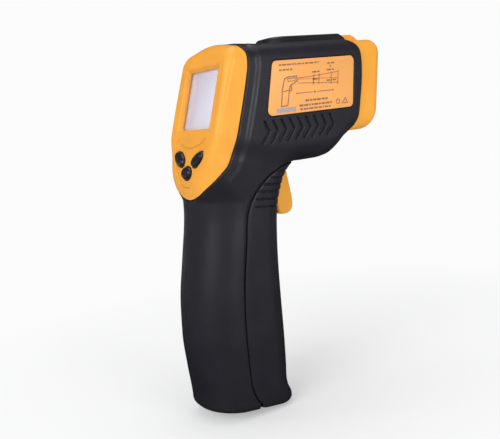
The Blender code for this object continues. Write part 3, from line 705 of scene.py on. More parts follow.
def moulded_plastic(name, slot, base, worn, roughness, grain, patch=0.06, wear=0.5, specular=0.5):
    """Moulded plastic: clouded colour, a fine grain, paler edges and painted shade in grooves and hollows.
    """
    graph = Graph(name, slot, roughness)
    clouds = graph.span(graph.noise(70.0, 4.0), 0.3, 0.7)
    shade = graph.mix(clouds, scaled(base, 1 - patch), scaled(base, 1 + patch))
    edge = graph.span(graph.relief(), 1.2, 5.0, 0.0, wear)
    patchy = graph.span(graph.noise(900.0, 3.0), 0.35, 0.65, 0.35, 1.0)
    shade = graph.mix(graph.maths("MULTIPLY", edge, patchy), shade, worn)
    # Painted shade: grooves and hollows darkened towards 0.45 of the base colour.
    painted_hollow_shade = graph.span(graph.relief(), -4.0, -0.8, 0.5, 0.0)
    graph.colour(graph.mix(painted_hollow_shade, shade, scaled(base, 0.45)))
    fine = graph.noise(grain, 2.0)
    rough = graph.span(graph.noise(220.0, 4.0), 0.3, 0.7, roughness - 0.05, roughness + 0.05)
    graph.dial("Roughness", rough)
    graph.dial("Specular IOR Level", specular)
    graph.bump(fine, 0.00004, 0.35)
    return graph.material


def yellow_plastic():
    return moulded_plastic("yellow_shell", "yellow_plastic", (0.90, 0.385, 0.045), (0.97, 0.60, 0.18),
                           0.38, 3200.0, specular=0.3)


def black_plastic():
    return moulded_plastic("soft_black", "black_plastic", (0.0145, 0.0136, 0.0200), (0.04, 0.038, 0.05),
                           0.42, 2600.0, 0.12, 0.25, 0.42)


def dark_plastic():
    return moulded_plastic("dark_part", "dark_plastic", (0.02, 0.02, 0.022), (0.06, 0.06, 0.06),
                           0.4, 2600.0, 0.15, 0.4)


def key_plastic():
    return moulded_plastic("gloss_key", "key_plastic", (0.014, 0.014, 0.018), (0.05, 0.05, 0.06),
                           0.27, 1500.0, 0.2, 0.1, 0.6)


def white_plastic():
    return moulded_plastic("white_part", "white_plastic", (0.72, 0.72, 0.7), (0.85, 0.85, 0.83),
                           0.45, 2400.0)


def label_film():
    """A printed film: a pale orange ground, slightly orange-peeled under a clear coat."""
    graph = Graph("label_film", "label_film", 0.48)
    clouds = graph.span(graph.noise(45.0, 3.0), 0.3, 0.7)
    graph.colour(graph.mix(clouds, (0.87, 0.375, 0.10), (0.92, 0.415, 0.12)))
    graph.bump(graph.noise(700.0, 2.0), 0.00003, 0.3)
    graph.dial("Specular IOR Level", 0.3)
    graph.dial("Coat Weight", 0.1)
    graph.dial("Coat Roughness", 0.3)
    return graph.material


def ink(name, tone):
    """Printing ink with uneven cover."""
    graph = Graph(name, "label_film", 0.5)
    cover = graph.span(graph.noise(2500.0, 2.0), 0.35, 0.65)
    graph.colour(graph.mix(cover, tone, tuple(0.7 * c + 0.3 * p for c, p in zip(tone, (0.93, 0.5, 0.17)))))
    graph.bump(graph.noise(3000.0), 0.00001, 0.3)
    return graph.material


def lcd_film():
    """A blank liquid-crystal cell: pale lavender grey, with faint streaky clouds."""
    graph = Graph("lcd_film", "clear_plastic", 0.22)
    clouds = graph.span(graph.noise(40.0, 2.0, (1, 1, 0.3)), 0.35, 0.65)
    graph.colour(graph.mix(clouds, (0.80, 0.79, 0.86), (0.88, 0.87, 0.91)))
    # Painted glow: the blank cell gives off a faint lavender light of its own.
    graph.dial("Emission Color", (0.80, 0.79, 0.88, 1.0))
    graph.dial("Emission Strength", 0.16)
    graph.bump(graph.noise(1800.0), 0.00001, 0.2)
    return graph.material


def window_pane():
    """A clear cover that shows what lies behind it and reflects at a glance."""
    graph = Graph("window_pane", "clear_plastic", 0.06)
    clear = graph.node("ShaderNodeBsdfTransparent")
    clear.inputs["Color"].default_value = (0.97, 0.965, 0.985, 1.0)
    gloss = graph.node("ShaderNodeBsdfGlossy")
    graph.put(graph.span(graph.noise(120.0, 4.0), 0.3, 0.7, 0.05, 0.16), gloss.inputs["Roughness"])
    glance = graph.node("ShaderNodeFresnel")
    glance.inputs["IOR"].default_value = 1.45
    outside = graph.maths("SUBTRACT", 1.0, graph.node("ShaderNodeNewGeometry").outputs["Backfacing"])
    share = graph.maths("MULTIPLY", glance.outputs["Fac"], outside)
    graph.surface(graph.mix_shader(share, clear.outputs["BSDF"], gloss.outputs["BSDF"]))
    return graph.material


def lens_film():
    """A milky moulded lens that lets a little light in."""
    graph = Graph("lens_film", "lens_film", 0.3)
    clouds = graph.noise(150.0, 3.0)
    graph.colour(graph.mix(clouds, (0.62, 0.64, 0.64), (0.72, 0.74, 0.73)))
    graph.dial("Subsurface Weight", 0.3)
    graph.dial("Subsurface Scale", 0.001)
    graph.bump(graph.noise(1200.0), 0.00002, 0.2)
    return graph.material


def metal(name, slot, tone, roughness, stretch=(1, 1, 1)):
    """Machined metal: brushed roughness, tarnish in patches and fine scratches."""
    graph = Graph(name, slot, roughness, 1.0)
    patches = graph.span(graph.noise(400.0, 4.0), 0.35, 0.65)
    graph.colour(graph.mix(patches, scaled(tone, 0.8), tone))
    brushed = graph.noise(3000.0, 2.0, stretch)
    graph.dial("Roughness", graph.span(brushed, 0.3, 0.7, roughness - 0.08, roughness + 0.1))
    graph.bump(brushed, 0.00001, 0.3)
    return graph.material


def board_laminate():
    """Green solder mask over faint copper tracks."""
    graph = Graph("board_laminate", "board_laminate", 0.35)
    tracks = graph.node("ShaderNodeTexBrick")
    graph.put(graph.place, tracks.inputs["Vector"])
    tracks.inputs["Scale"].default_value = 260.0
    tracks.inputs["Mortar Size"].default_value = 0.04
    weave = graph.span(graph.noise(900.0, 3.0), 0.3, 0.7)
    mask = graph.mix(weave, (0.018, 0.13, 0.05), (0.03, 0.19, 0.08))
    graph.colour(graph.mix(tracks.outputs["Fac"], mask, (0.06, 0.27, 0.1)))
    graph.bump(graph.noise(1600.0), 0.00003, 0.3)
    return graph.material


def insulation(name, slot, tone):
    """Soft wire insulation, slightly mottled."""
    graph = Graph(name, slot, 0.42)
    graph.colour(graph.mix(graph.noise(500.0, 3.0), scaled(tone, 0.75), scaled(tone, 1.2)))
    graph.bump(graph.noise(2500.0), 0.00002, 0.3)
    return graph.material


def battery_jacket():
    """A wrapped cell: a dark band below and a coppery band above, scuffed."""
    graph = Graph("battery_jacket", "battery_jacket", 0.3)
    level = graph.node("ShaderNodeSeparateXYZ")
    graph.put(graph.place, level.inputs["Vector"])
    band = graph.span(level.outputs["Z"], 0.0455, 0.0458)
    scuffs = graph.span(graph.noise(600.0, 5.0), 0.6, 0.75, 0.0, 0.5)
    lower = graph.mix(scuffs, (0.012, 0.02, 0.045), (0.12, 0.13, 0.15))
    upper = graph.mix(scuffs, (0.55, 0.24, 0.07), (0.7, 0.5, 0.35))
    graph.colour(graph.mix(band, lower, upper))
    graph.bump(graph.noise(1500.0), 0.00002, 0.2)
    return graph.material


LOOKS = {
    "yellow_plastic": yellow_plastic(),
    "black_plastic": black_plastic(),
    "dark_plastic": dark_plastic(),
    "key_plastic": key_plastic(),
    "clear_plastic": window_pane(),
    "white_plastic": white_plastic(),
    "board_laminate": board_laminate(),
    "steel": metal("steel", "steel", (0.62, 0.62, 0.64), 0.28, (1, 12, 1)),
    "brass": metal("brass", "brass", (0.78, 0.55, 0.24), 0.3, (1, 12, 1)),
    "label_film": label_film(),
    "red_insulation": insulation("red_insulation", "red_insulation", (0.55, 0.03, 0.02)),
    "black_insulation": insulation("black_insulation", "black_insulation", (0.025, 0.025, 0.025)),
    "lens_film": lens_film(),
    "battery_jacket": battery_jacket(),
}


def dress_frame():
    """Gives every CAD node the worked-up material of its slot."""
    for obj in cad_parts.values():
        for holder in obj.material_slots:
            key = holder.material.name.split(".")[0]
            holder.material = LOOKS[key]
        obj["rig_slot"] = key


# ---------------------------------------------------------------- black shells

# Case screws, in the side view.
SCREWS = ((24.0, 138.4), (44.0, 102.8), grip_place(-15.5, 0, 67.0)[[0, 2]],
          grip_place(-14.5, 0, 20.0)[[0, 2]])

# Pointed grooves on the barrel's side: their number, and the corners of the first and last.
CHEVRONS = 9
CHEVRON_FIRST = ((13.9, 114.1), (15.4, 110.6), (12.1, 106.1))
CHEVRON_LAST = ((45.6, 114.1), (47.0, 110.0), (43.5, 106.7))


def segment_distance(x, z, start, end):
    ex, ez = end[0] - start[0], end[1] - start[1]
    share = np.clip(((x - start[0]) * ex + (z - start[1]) * ez) / (ex * ex + ez * ez), 0, 1)
    return np.hypot(x - start[0] - share * ex, z - start[1] - share * ez)


def from_pivot(x, z):
    """Distance from the trigger pin's axis."""
    return np.hypot(x - PIVOT[0], z - PIVOT[2])


def from_hinge(along, height):
    """Distance from the door hinge's axis."""
    return np.hypot(along - HINGE[0], height - HINGE[1])


def chevron_distance(x, z):
    """Distance in the side view to the nearest of the pointed grooves."""
    nearest = np.full(np.shape(x), 99.0)
    for i in range(CHEVRONS):
        share = i / (CHEVRONS - 1)
        knots = [tuple(np.array(a) * (1 - share) + np.array(b) * share)
                 for a, b in zip(CHEVRON_FIRST, CHEVRON_LAST)]
        for start, end in zip(knots, knots[1:]):
            nearest = np.minimum(nearest, segment_distance(x, z, start, end))
    return nearest


def groove(body, distance, half_width, depth):
    """A rounded channel sunk into a surface along a line."""
    return np.hypot(distance, body * half_width / depth) - half_width


LABEL_CORNERS = ((15.5, 116.1), (58.2, 116.1), (61.0, 136.7), (20.3, 136.7))
label_outline = rounded_outline(LABEL_CORNERS, 2.0)
label_region = outline_field(label_outline)


def add_inner_walls(f, side, body, x, y, z):
    """Adds the battery bay's wall, the board's shelf, the screw posts and the pin's boss."""
    along, height = grip_frame(x, z)
    bay = np.maximum(within(along, -11.1, 0.7), within(height, 32.0, 27.0))
    shelf = np.maximum(within(x, 20.0, 6.0), within(z, 111.15, 0.75))
    f = np.minimum(f, np.maximum(np.minimum(bay, shelf), body + UNDER))
    radius = 4.0 if side > 0 else 3.0
    for px, pz in SCREWS:
        f = np.minimum(f, np.maximum(np.hypot(x - px, z - pz) - radius, body + UNDER))
    return np.minimum(f, common(from_pivot(x, z) - 2.8, 6.0 - y * side, body + UNDER))


def sink_surface(f, side, body, x, y, z):
    """Sinks the pointed grooves and the label's recess into the barrel's side."""
    across = y * side
    f = rounded_cut(f, groove(body, chevron_distance(x, z) + (across < 14) * 9, 0.5, 0.8), 0.1)
    recess = np.maximum(label_region(x, z) - GAP, HEAD_HALF - LABEL_SINK - across)
    return rounded_cut(f, recess, 0.12)


def part_from_door(f, side, body, x, y, z):
    """Parts the shell from the door, with a lip behind the seam and an ear for the hinge."""
    along, height = grip_frame(x, z)
    turn = from_hinge(along, height)
    edge = door_region(x, z)
    f = rounded_common(f, np.maximum(-edge, -(turn - KNUCKLE - 0.6)), 0.45)
    lip = common(-edge - LIP, edge - 1.0, within(body, -LIP_UNDER, LIP_HALF),
                 within(z, SEAM_MID, SEAM_HALF))
    ear = common(within(y * side, EAR, 1.3), 1.3 - turn, body + 0.3,
                 segment_distance(along, height, HINGE, (-5.0, 3.4)) - 2.2)
    return np.minimum(np.minimum(f, lip), ear)


def cut_holes(f, side, x, y, z):
    """Cuts the screw holes, the trigger pin's bore and the trigger's slot."""
    across = y * side
    for px, pz in SCREWS:
        from_axis = np.hypot(x - px, z - pz)
        if side > 0:
            f = rounded_cut(f, np.maximum(from_axis - 2.9, 8.2 - across), 0.2)
            f = rounded_cut(f, from_axis - 1.5, 0.1)
        else:
            f = rounded_cut(f, np.maximum(from_axis - 1.4, across - 10.0), 0.1)
    pin = np.maximum(from_pivot(x, z) - PIN_BORE, across - 9.3)
    slot = common(within(x, 29.2, 7.2), within(z, 95.0, 5.0), across - 5.8)
    return rounded_cut(f, np.minimum(pin, slot), 0.3)


def shell_field(side):
    """One mirrored half of the black body; side is +1 on the gun's left."""

    def field(x, y, z):
        body = body_field(x, y, z)
        f = add_inner_walls(thin_wall(body), side, body, x, y, z)
        f = sink_surface(f, side, body, x, y, z)
        f = rounded_common(f, GAP - bezel_field(x, y, z), 0.5)
        f = rounded_common(f, -nose_edge_field(x, y, z), 0.45)
        f = part_from_door(f, side, body, x, y, z)
        f = cut_holes(f, side, x, y, z)
        return rounded_common(f, GAP / 2 - y * side, 0.25)

    return field


def shells():
    for name, side in (("right_shell", -1), ("left_shell", 1)):
        near, far = sorted((side * -0.5, side * 21.0))
        moulded(name, shell_field(side), (-28, near, 0), (68, far, 148), "black_plastic")


# ---------------------------------------------------------------- door

# Where each rib starts along the grip, and its height up the grip.
RIBS = ((7.0, 96.3), (4.5, 93.65), (1.4, 91.05), (-1.2, 88.3), (-2.0, 85.3), (-2.4, 82.4))

# Width of the seam along the door's rear edge at each height.
door_gap = smooth_curve((-10, GAP), (15, GAP), (50, 0.5), (68, 1.1), (78, 1.2), (88, 0.8),
                        (97, GAP), (110, GAP))


def battery_door_field(x, y, z):
    body = body_field(x, y, z)
    along, height = grip_frame(x, z)
    edge = door_region(x, z)
    low_side = np.clip((z - 6.0) / 30.0, 0, 1)
    surface = body + 0.12 * np.clip(1 - (-edge) / 3.0, 0, 1) * low_side
    f = thin_wall(body, surface)
    ribs = np.full(np.shape(x), 99.0)
    for start, level in RIBS:
        ribs = np.minimum(ribs, segment_distance(along, height, (start, level), (45.0, level)))
    f = rounded_cut(f, groove(body, ribs, 0.36, 0.4), 0.1)
    f = rounded_common(f, edge + door_gap(z), 0.6)
    rebate = common(-edge - LIP - 0.4, body + 0.9, within(z, SEAM_MID, SEAM_HALF + 0.5))
    f = rounded_cut(f, rebate, 0.1)
    turn = from_hinge(along, height)
    f = np.minimum(f, rounded_common(turn - KNUCKLE, np.abs(y) - 13.0, 0.3))
    notch = common(within(np.abs(y), EAR, 1.7), within(along, 2.3, 4.3), height - 6.5)
    f = np.maximum(f, -notch)
    f = np.minimum(f, np.maximum(turn - 1.0, within(np.abs(y), EAR, 2.5)))
    slot_room = common(12.0 - x, np.abs(y) - 6.0, 74.0 - z)
    return rounded_cut(f, slot_room, 0.5)


def door():
    moulded("battery_door", battery_door_field, (-3, -20.5, -2), (38, 20.5, 98), "black_plastic",
            "battery_door")


# ---------------------------------------------------------------- yellow covers


def shield_outline():
    """The shallow panel round the keys, in width and height on the face."""
    top = [(-11.5, -15.0), (-7.0, -17.6), (0.0, -19.0), (7.0, -17.6), (11.5, -15.0)]
    outline = smooth_line(top, 5)
    outline += [(12.6, -16.4), (11.6, -20.5), (8.2, -28.0), (4.4, -33.0), (2.4, -34.4)]
    outline += [(-2.4, -34.4), (-4.4, -33.0), (-8.2, -28.0), (-11.6, -20.5), (-12.6, -16.4)]
    return outline


shield_region = outline_field(shield_outline())


def key_distance(width, up, key, grow=0.0):
    """Distance outside a key's oval."""
    middle, level, lean, axes = BUTTONS[key]
    a, b = width - middle, up - level
    short = a * math.cos(lean) + b * math.sin(lean)
    long = -a * math.sin(lean) + b * math.cos(lean)
    wide, narrow = axes[0] + grow, axes[1] + grow
    unit = np.hypot(long / wide, short / narrow)
    steep = np.hypot(long / wide ** 2, short / narrow ** 2)
    return unit * (unit - 1) / np.maximum(steep, 0.05)


def rear_bezel_field(x, y, z):
    body = body_field(x, y, z)
    width, up, depth = face_frame(x, y, z)
    f = thin_wall(body)
    f = rounded_cut(f, rounded_common(shield_region(width, up), -body - 0.42, 0.1), 0.25)
    flare = np.clip(1.7 - depth, -1.0, 3.0) * 0.62
    half, tall = DISPLAY_OPENING[0] / 2 + flare, DISPLAY_OPENING[1] / 2 + flare
    wide, high = np.abs(width) - half, np.abs(up - DISPLAY_MID) - tall
    opening = np.hypot(np.maximum(wide + 0.8, 0), np.maximum(high + 0.8, 0)) - 0.8
    opening += np.minimum(np.maximum(wide + 0.8, high + 0.8), 0)
    f = rounded_cut(f, opening * 0.85, 0.5)
    for key in BUTTONS:
        f = rounded_cut(f, key_distance(width, up, key, GAP), 0.3)
        room = np.maximum(key_distance(width, up, key, GAP + 0.5), 2.3 - depth)
        f = np.maximum(f, -room)
    return rounded_common(f, bezel_field(x, y, z), 0.5)


def nose_form(x, y, z):
    station = head_station(x, z)
    section = rounded_section(z, y, 105.9, 143.4, 19.2, 8.5, 7.0)
    form = rounded_common(section, (station - NOSE_STATION) * 0.985, 4.6)
    side = rounded_common(np.abs(y) - RIDGE_HALF, z - 146.4 + np.clip(x - 71.0, 0, 9) * 0.55, 0.8)
    spine = rounded_common(side, (x + (z - 143.3) * 0.45 - 74.6) * 0.9, 0.8)
    spine = np.maximum(spine, 141.0 - z)
    return rounded_join(form, spine, 0.5)


def nose_cover_field(x, y, z):
    form = nose_form(x, y, z)
    f = thin_wall(form)
    f = rounded_common(f, nose_edge_field(x, y, z) + GAP, 0.45)
    lens = np.hypot(y, z - LENS_HEIGHT) - 9.0
    laser = np.hypot(y, z - LASER_HEIGHT) - 2.9
    f = rounded_cut(f, np.maximum(lens, 66.0 - x), 0.7)
    return rounded_cut(f, np.maximum(laser, 66.0 - x), 0.5)


def covers():
    moulded("rear_bezel", rear_bezel_field, (-15, -20.5, 84), (14, 20.5, 147), "yellow_plastic", cell=0.33)
    moulded("nose_cover", nose_cover_field, (56, -20.5, 104), (80, 20.5, 148), "yellow_plastic", cell=0.33)


# ---------------------------------------------------------------- trigger and keys

TRIGGER_KNOTS = (
    (31.6, 101.0), (32.2, 97.0), (32.6, 91.8), (33.2, 87.3), (34.0, 81.1), (33.8, 77.4),
    (32.1, 75.3), (29.3, 74.8), (26.5, 75.7), (25.4, 80.0), (24.9, 86.0), (24.6, 92.0),
    (24.5, 98.6), (25.2, 102.4), (28.6, 103.6),
)
trigger_region = outline_field(smooth_line(TRIGGER_KNOTS, 6, closed=True))


def trigger_field(x, y, z):
    f = rounded_common(trigger_region(x, z), np.abs(y) - 5.2, 1.3)
    arm = box_field(x, y, z, (15.0, -5.2, 99.8), (26.0, 5.2, 101.8), 0.4)
    f = rounded_join(f, arm, 0.6)
    return rounded_cut(f, from_pivot(x, z) - PIN_BORE, 0.15)


def key_field(key):
    def field(x, y, z):
        width, up, depth = face_frame(x, y, z)
        across = key_distance(width, up, key)
        dome = -depth - 0.9 + 0.075 * np.maximum(across + 3.0, 0) ** 2
        f = rounded_common(across, dome, 0.8)
        f = np.maximum(f, depth - 2.9)
        flange = np.maximum(key_distance(width, up, key, 0.5), within(depth, 3.05, 0.35))
        middle, level, _lean, _axes = BUTTONS[key]
        post = np.maximum(np.hypot(width - middle, up - level) - 1.4, within(depth, 3.5, 0.7))
        return np.minimum(np.minimum(f, flange), post)

    return field


def trigger_and_keys():
    moulded("trigger", trigger_field, (14.5, -5.5, 74.5), (34.5, 5.5, 104.5), "yellow_plastic",
            "trigger", cell=0.25)
    for key, (width, up, _lean, _axes) in BUTTONS.items():
        middle = face_place(width, up, 1.2)
        moulded("button_" + key, key_field(key), middle - 5.6, middle + 5.6, "key_plastic",
                "key_" + key, cell=0.16)


# ---------------------------------------------------------------- display and labels


def display():
    half, tall = DISPLAY_OPENING[0] / 2 - 0.3, DISPLAY_OPENING[1] / 2 - 0.3
    corners = [(-half, DISPLAY_MID - tall), (half, DISPLAY_MID - tall),
               (half, DISPLAY_MID + tall), (-half, DISPLAY_MID + tall)]
    plate("display_window", rounded_outline(corners, 0.7), 1.3, 2.1, face_place, 0.12,
          LOOKS["clear_plastic"])
    corners = [(-13.2, -12.0), (13.2, -12.0), (13.2, 13.2), (-13.2, 13.2)]
    plate("lcd_glass", rounded_outline(corners, 0.4), 2.9, 5.2, face_place, 0.15, lcd_film())


def ribbon(path, width, closed=False):
    """Left and right edges of a stroke along a path."""
    path = [np.array(p, float) for p in path]
    count = len(path)
    left, right = [], []
    for i, point in enumerate(path):
        before = path[i - 1] if i or closed else point
        after = path[(i + 1) % count] if i < count - 1 or closed else point
        first = point - before if i or closed else after - point
        second = after - point if i < count - 1 or closed else point - before
        first, second = first / np.linalg.norm(first), second / np.linalg.norm(second)
        normal = np.array((-first[1] - second[1], first[0] + second[0]))
        normal = normal / max(normal @ normal, 0.3) * 2 * width / 2
        left.append(point + normal)
        right.append(point - normal)
    return left, right


def print_marks(name, strokes, side, look):
    """Raised ink strokes on the label, each a thin closed strip."""
    points, faces = [], []
    levels = [side * (HEAD_HALF - depth) for depth in PRINT_DEPTHS]
    for path, width, closed in strokes:
        left, right = ribbon(path, width * INK_SPREAD, closed)
        count, start = len(left), len(points)
        for level in levels:
            for edge in (left, right):
                points += [(p[0], level, p[1]) for p in edge]
        spans = count if closed else count - 1
        for i in range(spans):
            j = (i + 1) % count
            a, b, c, d = (start + row * count + i for row in range(4))
            e, f, g, h = (start + row * count + j for row in range(4))
            faces += [(a, e, f, b), (c, d, h, g), (a, c, g, e), (b, f, h, d)]
        if not closed:
            a, b, c, d = (start + row * count for row in range(4))
            faces += [(a, b, d, c)]
            a, b, c, d = (start + row * count + count - 1 for row in range(4))
            faces += [(a, c, d, b)]
    smoothed(piece(name, points, faces, look), 20)


def dashes(start, end, level, width, seed):
    """A row of dashes of uneven length, in place of small print."""
    strokes, x = [], start
    step = seed
    while x < end:
        step = (step * 37 + 11) % 23
        length = 0.7 + 1.6 * step / 23
        last = min(x + length, end)
        strokes.append(([(x, level), (last, level)], width, False))
        x = last + 0.45
    return strokes


def on_label(*places):
    """Places on the label from (share along, share up) pairs."""
    low_rear, low_front, high_front, high_rear = np.array(LABEL_CORNERS)
    marks = []
    for along, up in places:
        low = low_rear + (low_front - low_rear) * along
        high = high_rear + (high_front - high_rear) * along
        marks.append(low + (high - low) * up)
    return marks


def drawing_strokes():
    """A small outline of a pistol instrument, its measuring beams and their end marks."""
    outline = on_label((0.15, 0.60), (0.158, 0.66), (0.20, 0.685), (0.295, 0.69), (0.305, 0.60),
                       (0.27, 0.56), (0.235, 0.53), (0.222, 0.49), (0.215, 0.16), (0.145, 0.15),
                       (0.14, 0.46))
    lines = [
        (0.2, (0.19, 0.65), (0.28, 0.66), (0.28, 0.61), (0.20, 0.60), (0.19, 0.65)),
        (0.28, (0.235, 0.53), (0.25, 0.44), (0.225, 0.43)),
        (0.22, (0.15, 0.42), (0.215, 0.44)),
        (0.17, (0.31, 0.65), (0.50, 0.665), (0.79, 0.71)),
        (0.17, (0.31, 0.555), (0.81, 0.50)),
        (0.2, (0.31, 0.345), (0.31, 0.385)),
        (0.2, (0.745, 0.345), (0.745, 0.385)),
        (0.2, (0.31, 0.365), (0.50, 0.365)),
        (0.2, (0.55, 0.365), (0.745, 0.365)),
    ]
    for along, low, high in ((0.50, 0.50, 0.70), (0.565, 0.50, 0.70), (0.715, 0.48, 0.72),
                             (0.80, 0.47, 0.735)):
        lines.append((0.22, (along, low), (along, high)))
    strokes = [(outline, 0.3, True)] + [(on_label(*path), width, False) for width, *path in lines]
    triangle = on_label((0.865, 0.09), (0.93, 0.09), (0.90, 0.185))
    (x, z), = on_label((0.81, 0.13))
    ring = [(x + 0.9 * math.cos(t), z + 0.9 * math.sin(t))
            for t in np.linspace(0, 2 * math.pi, 18, endpoint=False)]
    return strokes + [(triangle, 0.24, True), (ring, 0.24, True)]


def print_rows():
    """Rows of dashes where the real label carries small print."""
    rows = ((0.075, 0.55, 0.914, 0.42, 3), (0.085, 0.245, 0.82, 0.42, 8), (0.655, 0.745, 0.885, 0.4, 5),
            (0.69, 0.71, 0.825, 0.4, 6), (0.655, 0.745, 0.76, 0.4, 9), (0.48, 0.565, 0.74, 0.4, 4),
            (0.49, 0.555, 0.60, 0.4, 12), (0.66, 0.78, 0.56, 0.4, 15), (0.51, 0.535, 0.365, 0.5, 7),
            (0.416, 0.68, 0.215, 0.5, 2), (0.35, 0.735, 0.13, 0.5, 7), (0.36, 0.725, 0.06, 0.42, 13))
    strokes = []
    for start, end, up, width, seed in rows:
        (first, level), (last, _level) = on_label((start, up), (end, up))
        strokes += dashes(first, last, level, width, seed)
    return strokes


def label_marks(side):
    end = "right" if side < 0 else "left"
    print_marks(f"{end}_label_print", drawing_strokes() + print_rows(), side, INKS["brown"])
    beam = on_label((0.31, 0.63), (0.72, 0.60), (0.80, 0.59))
    print_marks(f"{end}_label_beam", [(beam, 0.26, False)], side, INKS["red"])
    tag = [(on_label((0.095, 0.077), (0.31, 0.077)), 1.15, False)]
    print_marks(f"{end}_label_tag", tag, side, INKS["grey"])


INKS = {
    "brown": ink("ink_brown", (0.20, 0.085, 0.06)),
    "red": ink("ink_red", (0.75, 0.16, 0.08)),
    "grey": ink("ink_grey", (0.30, 0.32, 0.42)),
}


def labels():
    for name, side in (("right_label", -1), ("left_label", 1)):
        def place(a, b, depth):
            return np.array((a, side * (HEAD_HALF - depth), b))

        plate(name, label_outline, *LABEL_DEPTHS, place, 0.08, LOOKS["label_film"])
        label_marks(side)


# ---------------------------------------------------------------- optics


def optics():
    ring = [(8.6, 66.4), (10.6, 66.4), (10.8, 66.6), (10.8, 68.0), (10.6, 68.2), (8.9, 68.2), (8.7, 68.4),
            (8.75, 73.3), (8.5, 73.8), (8.2, 73.8), (7.9, 73.5), (7.9, 69.0), (8.3, 68.0)]
    turned("lens_ring", LENS_HEIGHT, ring, "dark_plastic")
    lens = [(0, 65.0), (9.9, 65.0), (9.9, 66.0)]
    for i in range(14):
        outer = 9.3 - 0.64 * i
        lens += [(outer, 66.0), (outer - 0.1, 65.82), (outer - 0.56, 66.0)]
    lens.append((0, 66.02))
    turned("fresnel_lens", LENS_HEIGHT, lens, "lens_film")
    tube = [(6.0, 32.0), (6.0, 36.0), (10.6, 64.6), (9.4, 64.6), (5.0, 36.0), (5.0, 32.0)]
    turned("sensor_tube", LENS_HEIGHT, tube, "dark_plastic")
    can = [(0, 32.0), (4.5, 32.0), (4.6, 32.1), (4.6, 32.6), (4.2, 32.8), (4.1, 36.8), (3.9, 37.0),
           (0, 37.0)]
    turned("infrared_sensor", LENS_HEIGHT, can, "steel")
    pane = [(0, 74.3), (2.4, 74.3), (2.55, 74.45), (2.55, 75.15), (2.4, 75.3), (0, 75.3)]
    turned("laser_window", LASER_HEIGHT, pane, "clear_plastic")
    barrel = [(0, 50.0), (2.5, 50.0), (2.6, 50.1), (2.6, 52.0), (3.1, 52.0), (3.2, 52.1), (3.2, 63.8),
              (3.0, 64.0), (1.6, 64.0), (1.4, 63.4), (0, 63.4)]
    turned("laser_module", LASER_HEIGHT, barrel, "brass")


# ---------------------------------------------------------------- studio

PAPER_WHITE = (0.97, 0.97, 0.97)
ROOM_LIGHT = 0.45  # the room as matt surfaces gather it
GLOSS_LIGHT = 0.07  # the room as glossy surfaces mirror it
LIGHTS = (  # name, place, size and power
    ("key", (-0.75, -0.35, 0.55), 0.7, 4.3),
    ("side", (0.1, -0.74, 0.24), 0.3, 1.7),
    ("top", (0.1, 0.1, 1.0), 0.8, 2.9),
    ("sheen", (-0.68, 0.42, 0.42), 0.14, 0.3),
)


def floor_paper():
    """White paper, seen as its own glow away from the part and mirrored as a dimmer sheet."""
    graph = Graph("floor_paper", "floor", 0.9)
    graph.colour(graph.mix(graph.noise(3.0, 2.0), (0.93, 0.93, 0.93), (0.95, 0.95, 0.95)))
    length = graph.node("ShaderNodeVectorMath", operation="LENGTH")
    graph.put(graph.place, length.inputs[0])
    away = length.outputs["Value"]
    ray = graph.node("ShaderNodeLightPath").outputs
    share = graph.maths("MULTIPLY", graph.span(away, 0.03, 0.22, 0.35), ray["Is Camera Ray"])
    seen = graph.mix_shader(share, graph.shader.outputs["BSDF"], graph.glow(PAPER_WHITE, 1.0))
    mirrored = graph.glow((0.95, 0.95, 1.0), graph.span(away, 0.12, 0.8, 0.03, 0.4))
    graph.surface(graph.mix_shader(ray["Is Glossy Ray"], seen, mirrored))
    return graph.material


def floor():
    mesh = bpy.data.meshes.new("floor")
    size = 6.0
    mesh.from_pydata([(-size, -size, 0), (size, -size, 0), (size, size, 0), (-size, size, 0)],
                     [], [(0, 1, 2, 3)])
    sheet = bpy.data.objects.new("floor", mesh)
    bpy.context.scene.collection.objects.link(sheet)
    sheet.location.z = -0.0002
    mesh.materials.append(floor_paper())


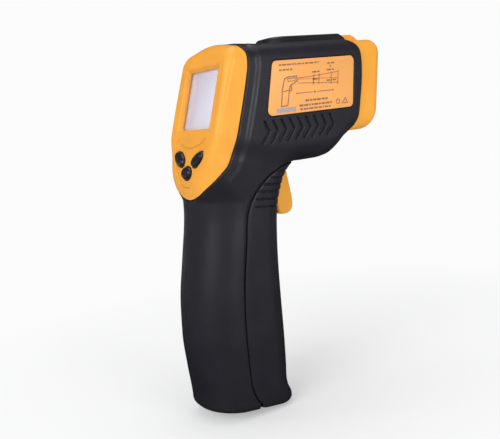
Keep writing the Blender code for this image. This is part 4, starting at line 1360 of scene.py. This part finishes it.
def room():
    """A plain room: white to the camera, dimmer as light and dimmest in reflections."""
    world = bpy.data.worlds.new("studio")
    world.use_nodes = True
    tree = world.node_tree
    join = tree.links.new
    walls = tree.nodes["Background"]
    walls.inputs["Color"].default_value = (0.95, 0.97, 1.0, 1.0)
    backdrop = tree.nodes.new("ShaderNodeBackground")
    backdrop.inputs["Color"].default_value = (*PAPER_WHITE, 1.0)
    ray = tree.nodes.new("ShaderNodeLightPath").outputs
    blend = tree.nodes.new("ShaderNodeMixShader")
    join(ray["Is Camera Ray"], blend.inputs["Fac"])
    join(walls.outputs["Background"], blend.inputs[1])
    join(backdrop.outputs["Background"], blend.inputs[2])
    dim = tree.nodes.new("ShaderNodeMapRange")
    join(ray["Is Glossy Ray"], dim.inputs["Value"])
    dim.inputs["To Min"].default_value = ROOM_LIGHT
    dim.inputs["To Max"].default_value = GLOSS_LIGHT
    join(dim.outputs["Result"], walls.inputs["Strength"])
    join(blend.outputs["Shader"], tree.nodes["World Output"].inputs["Surface"])
    scene = bpy.context.scene
    scene.world = world
    scene.view_settings.view_transform = "Standard"
    scene.view_settings.look = "None"


def lamps():
    """Round lamps, all turned to the part."""
    target = Vector((0.0, 0.0, 0.09))
    for name, place, size, power in LIGHTS:
        light = bpy.data.lights.new(name, "AREA")
        light.shape = "DISK"
        light.size = size
        light.energy = power
        lamp = bpy.data.objects.new(name, light)
        lamp.location = place
        lamp.rotation_euler = (target - Vector(place)).to_track_quat("-Z", "Y").to_euler()
        bpy.context.scene.collection.objects.link(lamp)


def camera():
    """Looks from behind and to the right, slightly from above and a little tilted."""
    azimuth, elevation, roll = -31.387, 9.111, -6.392
    lens = bpy.data.cameras.new("camera")
    lens.lens = 49.68
    lens.sensor_width = 36.0
    lens.clip_start = 0.01
    eye = bpy.data.objects.new("camera", lens)
    turn = Euler((0, 0, math.radians(azimuth))).to_matrix()
    turn = turn @ Euler((math.radians(90 - elevation), 0, 0)).to_matrix()
    turn = turn @ Euler((0, 0, math.radians(roll))).to_matrix()
    eye.matrix_world = turn.to_4x4()
    eye.location = Vector((-161.4, -241.65, 122.1)) * MM
    bpy.context.scene.collection.objects.link(eye)
    bpy.context.scene.camera = eye


dress_frame()
shells()
door()
covers()
trigger_and_keys()
display()
labels()
optics()
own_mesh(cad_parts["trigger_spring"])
floor()
room()
lamps()
camera()
